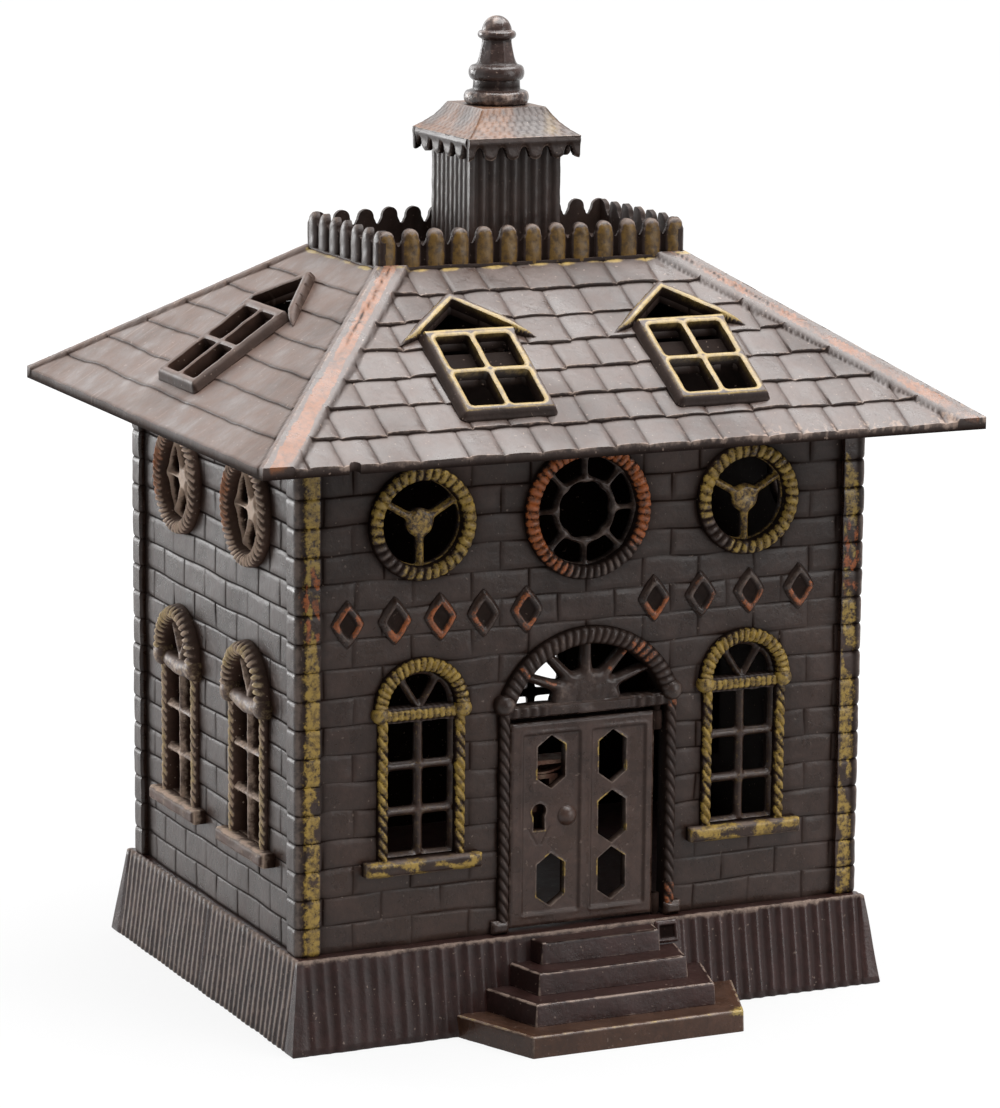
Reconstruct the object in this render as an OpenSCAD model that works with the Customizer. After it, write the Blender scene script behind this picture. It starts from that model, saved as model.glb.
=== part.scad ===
// Cast iron building bank: flat castings clamped between a base and a roof by one long rod.
// X runs along the front, the front faces -Y, Z is up, and the origin is on the ground at the middle.

/* [Building] */
// Width of the building over its corner blocks
body_w = 129.2; // [124:0.2:134]
// Depth of the building over its corner blocks
body_d = 93.6; // [90:0.2:98]
// Height of the walls above the base
wall_h = 105.5; // [104:0.5:112]
// Thickness of the cast walls
wall_t = 2.6; // [2.2:0.1:3.2]
// Distance that the brick faces lie behind the corner blocks
brick_recess = 1.3; // [0.8:0.1:1.6]
// Number of brick courses
courses = 18; // [14:1:20]
// Width and depth of the joints between courses
joint = 0.4; // [0.2:0.1:0.6]
// Side of a corner block
quoin = 5.4; // [4.8:0.1:6.2]

/* [Base] */
// Height of the base
base_h = 19; // [18:0.5:21]
// Ledge of the base's top in front of the walls, and at their sides
ledge_y = 2; // [1.2:0.1:3]
// Ledge of the base's top beside the walls
ledge_x = 0.5; // [0.4:0.1:2]
// Slope of the skirt on the front and rear, over its height
batter_y = 3.6; // [2:0.1:5]
// Slope of the skirt on the sides, over its height
batter_x = 2.6; // [2:0.1:5]
// Thickness of the skirt and of the floor plate
base_t = 3; // [2.4:0.1:4]
// Distance between the skirt's ribs
rib_pitch = 2.55; // [2.2:0.05:3.4]
// Height of the skirt's ribs
rib_h = 0.6; // [0.3:0.1:1]
// Width of the bottom step
step_w = 48; // [44:1:52]
// Distance that the bottom step reaches in front of the skirt's foot
step_reach = 19.3; // [17:0.1:23]
// Drop from the base's top to the landing
landing_drop = 0.8; // [0.4:0.1:1.4]
// Number of steps, with the landing
tiers = 4; // [3:1:4]
// Depth of a tread
tread = 6; // [5:0.1:6.4]

/* [Doorway and door] */
// Middle of the doorway and the steps, from the middle of the front
door_x = 0.7; // [-1:0.1:1]
// Width of the door leaf
leaf_w = 32.8; // [30:0.1:33.4]
// Height of the door leaf
leaf_h = 43.2; // [43:0.1:44]
// Thickness of the door leaf
leaf_t = 2.5; // [2:0.1:3]
// Gap between the leaf and the left jamb, and below it
leaf_gap = 0.6; // [0.4:0.1:0.8]
// Gap between the leaf and the lintel
head_gap = 1.2; // [0.6:0.1:1.4]
// Gap between the leaf and the hinge jamb
hinge_gap = 2.3; // [2.2:0.1:2.8]
// Radius of the knuckles
knuckle_r = 1.15; // [1:0.05:1.3]
// Radius of the pintles
pintle_r = 0.8; // [0.6:0.05:0.9]
// Radius of the fanlight's opening
fan_r = 17.9; // [17:0.1:19]
// Width of a hexagonal opening in the door
hex_w = 6.4; // [5:0.1:7.4]
// Height of a hexagonal opening in the door
hex_h = 11.4; // [9:0.1:12]

/* [Windows] */
// Distance of the front windows from the middle
front_window_x = 36.8; // [36:0.1:38]
// Distance of the rear windows from the middle
rear_window_x = 30; // [28:0.5:38]
// Distance of the side windows from the middle
side_window_x = 19.3; // [17:0.1:22]
// Height of the sills' tops above the base
sill_up = 18.3; // [14:0.1:22]
// Height of the windows' arch centres above the base
spring_up = 49.3; // [48:0.1:51]
// Width of a window's opening
window_w = 15.2; // [13:0.1:16]
// Width of the raised moulding round windows
trim_w = 2.8; // [2:0.1:3.2]
// Height of the mouldings above the brick
trim_h = 1.8; // [1.3:0.1:2.4]
// Width of the glazing bars
bar_w = 1.8; // [1.2:0.1:2.4]
// Height of the round windows' centres above the base
oculus_up = 87.2; // [86:0.1:88]
// Opening radius of the small round windows
oculus_r = 8.7; // [7:0.1:9]
// Opening radius of the large round window over the door
rose_r = 11.2; // [9:0.1:12]

/* [Roof] */
// Width of the roof over its eaves
eave_w = 160.4; // [154:0.2:168]
// Depth of the roof over its eaves
eave_d = 136.4; // [130:0.2:142]
// Rise of the roof from its eaves to its deck
roof_rise = 30.6; // [29:0.1:33]
// Width of the deck
deck_w = 70; // [68:0.5:74]
// Depth of the deck
deck_d = 38.4; // [38:0.2:42]
// Vertical thickness of the roof
roof_t = 2; // [1.8:0.1:2.6]
// Height of the eaves above the walls' feet
eave_up = 104.5; // [103:0.1:106]
// Number of shingle courses
shingle_courses = 7; // [5:1:9]
// Step from one shingle course to the next
shingle_step = 0.5; // [0.3:0.1:0.8]
// Width of a hip rib
hip_rib_w = 8.6; // [6:0.2:11]
// Distance of the front and rear dormers from the middle
dormer_x = 23.9; // [22:0.1:26]
// Distance from the eave up the slope to the dormers' feet
dormer_up = 10.9; // [9:0.1:12]
// Width of a dormer's frame
dormer_w = 19.8; // [17:0.1:21]
// Height of the dormers' paned part, up the slope
dormer_panes = 24.6; // [22:0.1:26]
// Height of the dormers with their gables, up the slope
dormer_len = 36.7; // [35:0.1:38]
// Height of the dormers' frames above the slope
dormer_h = 2.4; // [1.8:0.1:3]
// Height of the cresting
crest_h = 7.7; // [6:0.1:10]
// Number of crest pickets on the front, with both corners
pickets_front = 13; // [9:1:15]
// Number of crest pickets on a side, with both corners
pickets_side = 7; // [5:1:9]
// Length of the coin slot
slot_l = 33; // [30:0.5:36]
// Width of the coin slot
slot_w = 2.8; // [2.2:0.1:3.6]

/* [Tower and finial] */
// Width of the tower
tower_w = 20.8; // [19:0.1:22]
// Depth of the tower
tower_d = 19.2; // [18:0.1:21]
// Height of the tower above the deck
tower_h = 23.4; // [20:0.1:26]
// Width of the cupola roof over its eaves
cupola_w = 25.4; // [25:0.1:28]
// Depth of the cupola roof over its eaves
cupola_d = 28.8; // [26:0.1:31]
// Height of the cupola roof from its valance's top to its deck
cupola_h = 5.7; // [5:0.1:8]
// Depth of the valance
valance_h = 4.8; // [4.2:0.1:5.4]
// Height of the finial
finial_h = 18.3; // [15:0.1:22]
// Largest radius of the finial
finial_r = 6.8; // [6:0.1:6.8]

/* [Rod and lock] */
// Radius of the tie rod
rod_r = 2.2; // [1.8:0.1:2.4]
// Width of the rod's square nut
nut_w = 9.5; // [8:0.5:12]
// Thickness of the rod's nut
nut_t = 3.6; // [3:0.1:5]
// Width of the lock case
case_w = 15; // [14.5:0.1:15.4]
// Height of the lock case
case_h = 18.5; // [18:0.1:19.2]
// Depth of the lock case behind the door
case_d = 5.6; // [5.4:0.1:7]
// Thickness of the lock case's sheet
case_t = 0.8; // [0.6:0.1:1]
// Height of the bolt
bolt_h = 5.6; // [5.4:0.1:6]
// Thickness of the bolt
bolt_t = 2; // [1.6:0.1:2.2]
// Travel of the bolt
bolt_throw = 4; // [3:0.1:4.4]

/* [Clearances] */
// Clearance of a tab in its slot and of a wall's end beside a corner block
fit_gap = 0.2; // [0.1:0.05:0.3]
// Radial clearance of a turning pin or a rod in its hole
pin_gap = 0.07; // [0.02:0.01:0.1]
// Clearance round the sliding bolt
slide_gap = 0.3; // [0.2:0.05:0.3]

/* [Hidden] */
$fn = 48;
eps = 0.02;
iron = "#3b3230";
roof_iron = "#5d5450";
steel = "#6e6a66";

// Faces of the walls, as distances from the middle
brick_y = body_d / 2 - brick_recess;
brick_x = body_w / 2 - brick_recess;
wall_top = base_h + wall_h;
course_h = wall_h / courses;
side_wall_w = body_d - 2 * quoin - 2 * fit_gap;

// Tabs under and over each wall
tab_w = 8;
tab_h = 2.2;
tab_root = 0.5;
front_tab_in = 15;
side_tab_in = 12;
front_tab_x = body_w / 2 - front_tab_in;
side_tab_x = side_wall_w / 2 - side_tab_in;

// Base
top_x = body_w / 2 + ledge_x;
top_y = body_d / 2 + ledge_y;
foot_x = top_x + batter_x;
foot_y = top_y + batter_y;
plain_corner = 3.6;
plain_by_step = 7;
boss_r = 7;
boss_h = 4;
step_rise = (base_h - landing_drop) / tiers;
step_narrow = 3.4;
step_flare = 0.39;
flare_loss = 0.08;

// Doorway and door
leaf_z = base_h + leaf_gap;
opening_w = leaf_w + leaf_gap + hinge_gap;
opening_l = door_x - opening_w / 2;
opening_r = door_x + opening_w / 2;
opening_top = leaf_z + leaf_h + head_gap;
leaf_l = opening_l + leaf_gap;
leaf_r = leaf_l + leaf_w;
lintel_h = 2.4;
fan_z = opening_top - 3.4;
fan_trim_w = 3.8;
fan_knob_z = opening_top + 3.2;
fan_hub_r = 8.3;
fan_hub_z = opening_top + 0.4;
fan_bars_z = opening_top + 3.4;
fan_angles = [20, 46, 90, 134, 160];
hinge_x = opening_r - knuckle_r - slide_gap;
hinge_y = -brick_y + 0.9;
knuckle_h = 4;
pintle_l = 2;
stop_in = 1.5;
stop_t = 1.8;
strap_t = 2;
strap_front = 0.85;
panel_sink = 0.4;
panel_edge = 2.6;
panels = [[2.9, 12.9], [18.5, 12.3]];
hex_rows = [9.5, 21.6, 34.5];
hex_right = 23.4;
hex_left = 9.4;

// Windows
sill_z = base_h + sill_up;
spring_z = base_h + spring_up;
oculus_z = base_h + oculus_up;
sill_h = 3;
sill_out = 3.2;
sill_side = 2.4;
window_rows = 3;
transom = 2.6;
knob_r = 2.1;

// Roof
eave_z = base_h + eave_up;
deck_z = eave_z + roof_rise;
front_run = (eave_d - deck_d) / 2;
side_run = (eave_w - deck_w) / 2;
front_pitch = atan(roof_rise / front_run);
side_pitch = atan(roof_rise / side_run);
rib_up = 0.5;
seat_in = 1.4;
seat_out = 1;
crest_t = 1.8;
picket_w = 2.8;
slot_up = (front_run - 5.3) / cos(front_pitch);

// Tower, cupola roof and rod
tower_z = deck_z + tower_h;
tower_wall = 2.2;
flute_r = 0.85;
flutes_front = 8;
flutes_side = 7;
cupola_wall = 1.5;
cupola_eave_z = tower_z + 1.6;
cupola_deck_z = cupola_eave_z + cupola_h;
cupola_run = 5.5;
scallops = 5;
finial_z = cupola_deck_z;
nut_z = base_h - base_t - boss_h;
rod_bottom = nut_z - nut_t - 2;
rod_top = finial_z + finial_h * 0.6;

// Lock
lock_y = -brick_y + leaf_t;
case_l = leaf_l + 0.9;
case_z = leaf_z + 15.8;
bolt_y = -brick_y + wall_t + slide_gap + 0.2;
bolt_z = case_z + 9.8;
bolt_l = leaf_l + 0.3;
bolt_len = case_w - case_t - 2.4;
key_x = leaf_l + 6.7;
key_z = leaf_z + 24.2;
key_r = 1.65;
key_drop = 4.1;
guide_x = leaf_l + 5.2;
guide_z = bolt_z + bolt_h - 1.9;
guide_r = 0.7;
pin_short = 0.4;
rivet_x = leaf_l + 13.1;
rivet_z = leaf_z + 22.8;
rivet_r = 1;
rivet_head_r = 2.2;
rivet_head_h = 1.2;

// Draws an outline in the front's plane, extruded from y towards the front
module on_front(y, t) {
    translate([0, y, 0]) rotate([90, 0, 0]) linear_extrude(t) children();
}

// A block whose four sides slope: half sizes at the bottom and at the top
module tapered(x0, y0, x1, y1, h) {
    intersection() {
        rotate([90, 0, 0]) linear_extrude(4 * y0, center = true)
            polygon([[-x0, 0], [x0, 0], [x1, h], [-x1, h]]);
        rotate([90, 0, 90]) linear_extrude(4 * x0, center = true)
            polygon([[-y0, 0], [y0, 0], [y1, h], [-y1, h]]);
    }
}

// Upright shape with a round top, from its foot to its arch centre
module arch_2d(r, spring, foot) {
    translate([-r, foot]) square([2 * r, spring - foot]);
    translate([0, spring]) circle(r);
}

// Straight bars from the middle outwards, at the angles given
module spokes_2d(angles, length, w) {
    for (a = angles) rotate(a) translate([0, -w / 2]) square([length, w]);
}

// Panes of an arched window, as they are cut from the wall
module window_cut_2d() {
    pane_h = (spring_z - transom - sill_z - bar_w * (window_rows - 1)) / window_rows;
    difference() {
        arch_2d(window_w / 2, spring_z, sill_z);
        translate([-bar_w / 2, sill_z]) square([bar_w, spring_z - sill_z]);
        for (i = [1 : window_rows - 1])
            translate([-window_w, sill_z + i * (pane_h + bar_w) - bar_w]) square([2 * window_w, bar_w]);
        translate([-window_w, spring_z - transom]) square([2 * window_w, transom]);
        translate([0, spring_z]) spokes_2d([60, 120], window_w, bar_w * 0.8);
    }
}

// Raised surround of an arched window: moulding, knobs, transom and sill
module window_trim() {
    r = window_w / 2;
    on_front(-brick_y + eps, trim_h) difference() {
        arch_2d(r + trim_w, spring_z, sill_z);
        arch_2d(r, spring_z, sill_z - 1);
    }
    on_front(-brick_y + eps, trim_h * 0.6)
        translate([-r - 1, spring_z - transom]) square([2 * r + 2, transom]);
    for (s = [-1, 1])
        on_front(-brick_y + eps, trim_h + 0.6)
            translate([s * (r + trim_w - knob_r + 0.6), spring_z - 0.6]) circle(knob_r);
    on_front(-brick_y + eps, sill_out)
        translate([-r - trim_w - sill_side, sill_z - sill_h])
            square([2 * (r + trim_w + sill_side), sill_h]);
}

// Opening of a round window between its spokes and hub
module oculus_cut_2d(r, angles, hub) {
    translate([0, oculus_z]) difference() {
        circle(r);
        circle(hub);
        spokes_2d(angles, r + 1, bar_w * 0.9);
    }
}

// Opening of the large round window: an open ring in the middle and eight spokes round it
module rose_cut_2d() {
    translate([0, oculus_z]) {
        circle(rose_r * 0.525);
        difference() {
            circle(rose_r);
            circle(rose_r * 0.62);
            spokes_2d([0 : 45 : 315], rose_r + 1, bar_w * 0.5);
        }
    }
}

// Raised ring round a round window
module oculus_trim(r) {
    on_front(-brick_y + eps, trim_h) translate([0, oculus_z]) difference() {
        circle(r + trim_w);
        circle(r);
    }
}

// Doorway and the fanlight over it
module doorway_cut_2d() {
    translate([opening_l, base_h - 1]) square([opening_w, opening_top - base_h + 1]);
    translate([door_x, 0]) difference() {
        intersection() {
            translate([0, fan_z]) circle(fan_r);
            translate([-fan_r, opening_top + lintel_h]) square(2 * fan_r);
        }
        translate([0, fan_hub_z]) circle(fan_hub_r);
        translate([0, fan_bars_z]) spokes_2d(fan_angles, fan_r, bar_w);
    }
}

// Raised surround of the doorway: arch, knobs, lintel, jambs and their feet
module doorway_trim() {
    jamb_w = 2.4;
    foot_w = 3.8;
    foot_h = 2.6;
    foot_up = 0.4;
    on_front(-brick_y + eps, trim_h) {
        translate([door_x, fan_z]) difference() {
            intersection() {
                circle(fan_r + fan_trim_w);
                translate([-2 * fan_r, fan_knob_z - fan_z]) square(4 * fan_r);
            }
            circle(fan_r);
        }
        for (x = [opening_l - jamb_w, opening_r])
            translate([x, base_h + 1]) square([jamb_w, fan_knob_z - base_h - 1]);
        for (x = [opening_l - foot_w, opening_r])
            translate([x, base_h + foot_up]) square([foot_w, foot_h]);
    }
    on_front(-brick_y + eps, trim_h * 0.7)
        translate([opening_l - 1, opening_top]) square([opening_w + 2, lintel_h]);
    for (s = [-1, 1])
        on_front(-brick_y + eps, trim_h + 0.6)
            translate([door_x + s * (opening_w / 2 + jamb_w / 2), fan_knob_z]) circle(knob_r);
}

// Lip behind the leaf's top edge, which stops the door
module door_stop() {
    lip = 2;
    x = opening_l + stop_in;
    w = opening_w - 2 * stop_in;
    translate([x, -brick_y + wall_t - fit_gap, opening_top]) cube([w, stop_t + fit_gap, lip]);
    translate([x, -brick_y + leaf_t + slide_gap, opening_top - lip])
        cube([w, wall_t - leaf_t - slide_gap + stop_t, 2 * lip]);
}

// Column of rounded corner blocks, one to a course, standing with its outer corner at the origin
module corner_blocks() {
    round_r = 1.3;
    joint_in = 0.35;
    translate([joint_in, joint_in, base_h]) cube([quoin - joint_in, quoin - joint_in, wall_h]);
    for (i = [0 : courses - 1])
        translate([0, 0, base_h + i * course_h + joint / 2]) linear_extrude(course_h - joint) {
            translate([round_r, 0]) square([quoin - round_r, quoin]);
            translate([0, round_r]) square([quoin, quoin - round_r]);
            translate([round_r, round_r]) circle(round_r);
        }
}

// Tabs under and over a wall, and with a gap, the slots that they stand in
module tabs(x, y_face, gap) {
    for (s = [-1, 1], z = [base_h - tab_h - gap, wall_top - tab_root])
        translate([s * x - tab_w / 2 - gap, -y_face - gap, z])
            cube([tab_w + 2 * gap, wall_t + 2 * gap, tab_h + gap + tab_root]);
}

// Joints between the brick courses of a wall of the width given
module course_joints(w) {
    for (i = [1 : courses - 1])
        translate([-w / 2 + eps, -brick_y - 1, base_h + i * course_h - joint / 2])
            cube([w - 2 * eps, 1 + joint, joint]);
}

// Wall with corner blocks at both ends. Children: 0 the openings' outline, 1 the raised surrounds
module long_wall() {
    difference() {
        on_front(-brick_y + wall_t, wall_t) difference() {
            translate([-body_w / 2 + 1, base_h]) square([body_w - 2, wall_h]);
            children(0);
        }
        course_joints(body_w - 2 * quoin);
    }
    for (s = [0, 1]) mirror([s, 0, 0]) translate([-body_w / 2, -body_d / 2, 0]) corner_blocks();
    tabs(front_tab_x, brick_y, 0);
    children(1);
}

// Puts a side wall's parts, drawn as a front, on the left side
module to_side() {
    rotate([0, 0, -90]) translate([0, brick_y - brick_x, 0]) children();
}

module side_wall() {
    to_side() {
        difference() {
            on_front(-brick_y + wall_t, wall_t) difference() {
                translate([-side_wall_w / 2, base_h]) square([side_wall_w, wall_h]);
                for (s = [-1, 1]) translate([s * side_window_x, 0]) {
                    window_cut_2d();
                    oculus_cut_2d(oculus_r, [0 : 60 : 300], 2.2);
                }
            }
            course_joints(side_wall_w);
        }
        for (s = [-1, 1]) translate([s * side_window_x, 0, 0]) {
            window_trim();
            oculus_trim(oculus_r);
        }
        tabs(side_tab_x, brick_y, 0);
    }
}

// Slots for the tabs of all four walls
module all_slots() {
    for (a = [0, 180]) rotate([0, 0, a]) {
        tabs(front_tab_x, brick_y, fit_gap);
        to_side() tabs(side_tab_x, brick_y, fit_gap);
    }
}

// Ribs along one face of the skirt, from x0 to x1, on a slope that leans back by batter
module skirt_ribs(x0, x1, y_foot, batter) {
    n = floor((x1 - x0) / rib_pitch);
    w = (x1 - x0) / n;
    lean = atan(batter / base_h);
    deep = 0.1;
    top = rib_h + 0.2;
    translate([0, -y_foot, 0]) rotate([-lean, 0, 0]) translate([0, 0, -1])
        linear_extrude(base_h / cos(lean) + 2)
            polygon(concat([[x0, 1]],
                [for (i = [0 : n - 1]) each [[x0 + i * w, deep], [x0 + (i + 0.28) * w, -top],
                    [x0 + (i + 0.72) * w, -top]]],
                [[x1, deep], [x1, 1]]));
}

// Plan of one tier of the steps, as far back as y_back and drawn smaller by inset
module tier_2d(i, y_back, inset) {
    y_front = foot_y + step_reach - i * tread - inset;
    half = step_w / 2 - i * step_narrow - inset;
    wide = half + (y_front - y_back) * (step_flare - flare_loss * i);
    translate([door_x, 0])
        polygon([[-half, -y_front], [half, -y_front], [wide, -y_back], [-wide, -y_back]]);
}

module base() {
    by_step = step_w / 2 + plain_by_step;
    end_x = top_x - plain_corner;
    end_y = top_y - plain_corner;
    color(iron) difference() {
        union() {
            tapered(foot_x - rib_h, foot_y - rib_h, top_x - rib_h, top_y - rib_h, base_h);
            intersection() {
                tapered(foot_x, foot_y, top_x, top_y, base_h);
                union() {
                    skirt_ribs(-end_x, door_x - by_step, foot_y - rib_h, batter_y);
                    skirt_ribs(door_x + by_step, end_x, foot_y - rib_h, batter_y);
                    rotate([0, 0, 180]) skirt_ribs(-end_x, end_x, foot_y - rib_h, batter_y);
                    for (a = [-90, 90]) rotate([0, 0, a])
                        skirt_ribs(-end_y, end_y, foot_x - rib_h, batter_x);
                    for (a = [-1, 1], b = [-1, 1])
                        translate([a * foot_x, b * foot_y, base_h / 2])
                            cube([2 * (plain_corner + batter_x) + 0.6, 2 * (plain_corner + batter_y) + 0.6,
                                base_h], center = true);
                }
            }
            for (i = [0 : tiers - 1])
                linear_extrude((i + 1) * step_rise) tier_2d(i, top_y - 1, 0);
        }
        translate([0, 0, -eps])
            tapered(foot_x - base_t - rib_h, foot_y - base_t - rib_h,
                top_x - base_t - rib_h, top_y - base_t - rib_h, base_h - base_t + eps);
        for (i = [0 : tiers - 1])
            translate([0, 0, -eps]) linear_extrude((i + 1) * step_rise - base_t + eps)
                tier_2d(i, top_y - 2 * base_t, base_t);
        all_slots();
        translate([hinge_x, hinge_y, leaf_z - pintle_l - fit_gap])
            cylinder(r = pintle_r + pin_gap, h = base_t);
        translate([0, 0, -1]) cylinder(r = rod_r + pin_gap, h = base_h + 2);
    }
    color(iron) translate([0, 0, nut_z]) difference() {
        cylinder(r = boss_r, h = boss_h + base_t / 2);
        translate([0, 0, -1]) cylinder(r = rod_r + pin_gap, h = boss_h + base_t);
    }
}

module front_wall() {
    color(iron) difference() {
        long_wall() {
            union() {
                doorway_cut_2d();
                rose_cut_2d();
                for (s = [-1, 1]) translate([s * front_window_x, 0]) {
                    window_cut_2d();
                    oculus_cut_2d(oculus_r, [30, 150, 270], 2.6);
                }
            }
            union() {
                doorway_trim();
                door_stop();
                oculus_trim(rose_r);
                for (s = [-1, 1]) translate([s * front_window_x, 0, 0]) {
                    window_trim();
                    oculus_trim(oculus_r);
                }
            }
        }
        translate([hinge_x, hinge_y, opening_top - head_gap])
            cylinder(r = pintle_r + pin_gap, h = pintle_l + slide_gap);
    }
}

module rear_wall() {
    color(iron) rotate([0, 0, 180]) long_wall() {
        union() {
            for (s = [-1, 1]) translate([s * rear_window_x, 0]) window_cut_2d();
            for (s = [-1, 0, 1]) translate([s * rear_window_x, 0])
                oculus_cut_2d(oculus_r, [30, 150, 270], 2.6);
        }
        union() {
            for (s = [-1, 1]) translate([s * rear_window_x, 0, 0]) window_trim();
            for (s = [-1, 0, 1]) translate([s * rear_window_x, 0, 0]) oculus_trim(oculus_r);
        }
    }
}

module left_wall() {
    color(iron) side_wall();
}

module right_wall() {
    color(iron) mirror([1, 0, 0]) side_wall();
}

// Half profile of the shingled slope: one short step back at the foot of each course
function slope_points(half, run) = [for (i = [0 : shingle_courses - 1]) each
    let (a = i / shingle_courses, b = (i + 1) / shingle_courses)
    [[half - a * run, eave_z + a * roof_rise], [half - b * run, eave_z + b * roof_rise - shingle_step]]];

// Same profile without the steps
function plain_points(half, run) = [[half, eave_z], [half - run, eave_z + roof_rise]];

function mirrored(p) = [for (i = [len(p) - 1 : -1 : 0]) [-p[i][0], p[i][1]]];

// Solid under a hipped roof, from the eaves' underside up
module hip_solid(px, py, bottom) {
    intersection() {
        rotate([90, 0, 0]) linear_extrude(2 * eave_d, center = true)
            polygon(concat([[px[0][0], bottom]], px, mirrored(px), [[-px[0][0], bottom]]));
        rotate([90, 0, 90]) linear_extrude(2 * eave_w, center = true)
            polygon(concat([[py[0][0], bottom]], py, mirrored(py), [[-py[0][0], bottom]]));
    }
}

module plain_hip(up) {
    translate([0, 0, up])
        hip_solid(plain_points(eave_w / 2, side_run), plain_points(eave_d / 2, front_run),
            eave_z - roof_t);
}

// Flat ribs over the four hips
module hip_ribs() {
    intersection() {
        plain_hip(rib_up);
        for (s = [-1, 1], t = [-1, 1])
            translate([s * deck_w / 2, t * deck_d / 2, eave_z - roof_t])
                rotate([0, 0, atan2(t * front_run, s * side_run)])
                    translate([-hip_rib_w / 2, -hip_rib_w / 2, 0])
                        cube([norm([front_run, side_run]) + hip_rib_w, hip_rib_w, roof_rise + roof_t + 1]);
        translate([0, 0, eave_z + roof_rise / 2])
            cube([eave_w, eave_d, roof_rise + 3 * roof_t], center = true);
    }
}

// Puts a shape drawn on the slope (X along the eave, Y up the slope, Z out of it) on one side
module on_slope(angle, half, pitch) {
    rotate([0, 0, angle]) translate([0, -half, eave_z]) rotate([pitch, 0, 0]) children();
}

dormer_pane_top = dormer_up + dormer_panes;
dormer_apex = dormer_up + dormer_len;

module dormer_cut_2d() {
    jamb = 1.7;
    pane_w = (dormer_w - 3 * jamb) / 2;
    pane_h = (dormer_pane_top - dormer_up - 3 * jamb) / 2;
    for (s = [-1, 1], i = [0, 1])
        translate([s * (pane_w + jamb) / 2 - pane_w / 2, dormer_up + jamb + i * (pane_h + jamb)])
            square([pane_w, pane_h]);
    half = dormer_w / 2 - 1.4;
    polygon([[-half, dormer_pane_top + 0.8], [half, dormer_pane_top + 0.8], [0, dormer_apex - 3]]);
}

module dormer_frame_2d() {
    reach = dormer_w / 2 + 5.4;
    tip = dormer_apex - reach;
    translate([-dormer_w / 2, dormer_up]) square([dormer_w, dormer_pane_top - dormer_up]);
    polygon([[0, dormer_apex], [reach, tip], [reach - 1, tip - 1], [dormer_w / 2, dormer_pane_top - 3],
        [-dormer_w / 2, dormer_pane_top - 3], [1 - reach, tip - 1], [-reach, tip]]);
}

// Does the same at each of the six dormers
module each_dormer() {
    for (a = [0, 180], s = [-1, 1])
        on_slope(a, eave_d / 2, front_pitch) translate([s * dormer_x, 0, 0]) children();
    for (a = [-90, 90])
        on_slope(a, eave_w / 2, side_pitch) children();
}

// A run of pickets along X, standing on the deck, centred on the edge
module crest_run(length, n) {
    pitch = (length - picket_w) / (n - 1);
    web = crest_h * 0.6;
    on_front(crest_t / 2, crest_t) translate([0, deck_z - 0.6]) {
        difference() {
            translate([-length / 2, 0]) square([length, web + 0.6]);
            for (i = [0 : n - 2])
                translate([(i + 0.5) * pitch - (length - picket_w) / 2, web + 0.6])
                    circle((pitch - picket_w) / 2);
        }
        for (i = [0 : n - 1]) translate([i * pitch - (length - picket_w) / 2, 0]) {
            translate([-picket_w / 2, 0]) square([picket_w, crest_h + 0.6 - picket_w / 2]);
            translate([0, crest_h + 0.6 - picket_w / 2]) circle(picket_w / 2);
        }
    }
}

module tower_2d() {
    difference() {
        square([tower_w, tower_d], center = true);
        for (s = [-1, 1], i = [0 : flutes_front - 1])
            translate([(i + 0.5 - flutes_front / 2) * (tower_w - 1.6) / flutes_front, s * tower_d / 2])
                circle(flute_r, $fn = 24);
        for (s = [-1, 1], i = [0 : flutes_side - 1])
            translate([s * tower_w / 2, (i + 0.5 - flutes_side / 2) * (tower_d - 1.6) / flutes_side])
                circle(flute_r, $fn = 24);
    }
}

module roof() {
    ring_out = [2 * brick_x + 2 * seat_out, 2 * brick_y + 2 * seat_out];
    ring_in = [2 * (brick_x - wall_t - seat_in), 2 * (brick_y - wall_t - seat_in)];
    color(roof_iron) difference() {
        union() {
            difference() {
                hip_solid(slope_points(eave_w / 2, side_run), slope_points(eave_d / 2, front_run),
                    eave_z - roof_t);
                plain_hip(-roof_t);
            }
            intersection() {
                translate([0, 0, wall_top]) linear_extrude(roof_rise) difference() {
                    square(ring_out, center = true);
                    square(ring_in, center = true);
                }
                plain_hip(-roof_t / 2);
            }
            difference() {
                hip_ribs();
                plain_hip(-roof_t / 2);
            }
            each_dormer() translate([0, 0, -1]) linear_extrude(dormer_h + 1) dormer_frame_2d();
            for (s = [-1, 1]) {
                translate([0, s * (deck_d - crest_t) / 2, 0]) crest_run(deck_w, pickets_front);
                translate([s * (deck_w - crest_t) / 2, 0, 0])
                    rotate([0, 0, 90]) crest_run(deck_d, pickets_side);
            }
            translate([0, 0, deck_z - 1]) linear_extrude(tower_h + 1) tower_2d();
        }
        each_dormer() translate([0, 0, -3 * roof_t]) linear_extrude(dormer_h + 4 * roof_t) dormer_cut_2d();
        on_slope(180, eave_d / 2, front_pitch)
            translate([-slot_l / 2, slot_up - slot_w / 2, -3 * roof_t]) cube([slot_l, slot_w, 5 * roof_t]);
        translate([0, 0, deck_z - 2 * roof_t]) linear_extrude(tower_h + 2 * roof_t - tower_wall)
            square([tower_w - 2 * tower_wall, tower_d - 2 * tower_wall], center = true);
        cylinder(r = rod_r + pin_gap, h = tower_z + 1);
        all_slots();
    }
}

// Arched cut between two teeth of the valance
module scallop_2d(w) {
    r = w * 0.3;
    translate([0, cupola_eave_z - valance_h * 0.55]) {
        circle(r, $fn = 24);
        polygon([[-r, 0], [r, 0], [w * 0.46, -valance_h], [-w * 0.46, -valance_h]]);
    }
}

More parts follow.
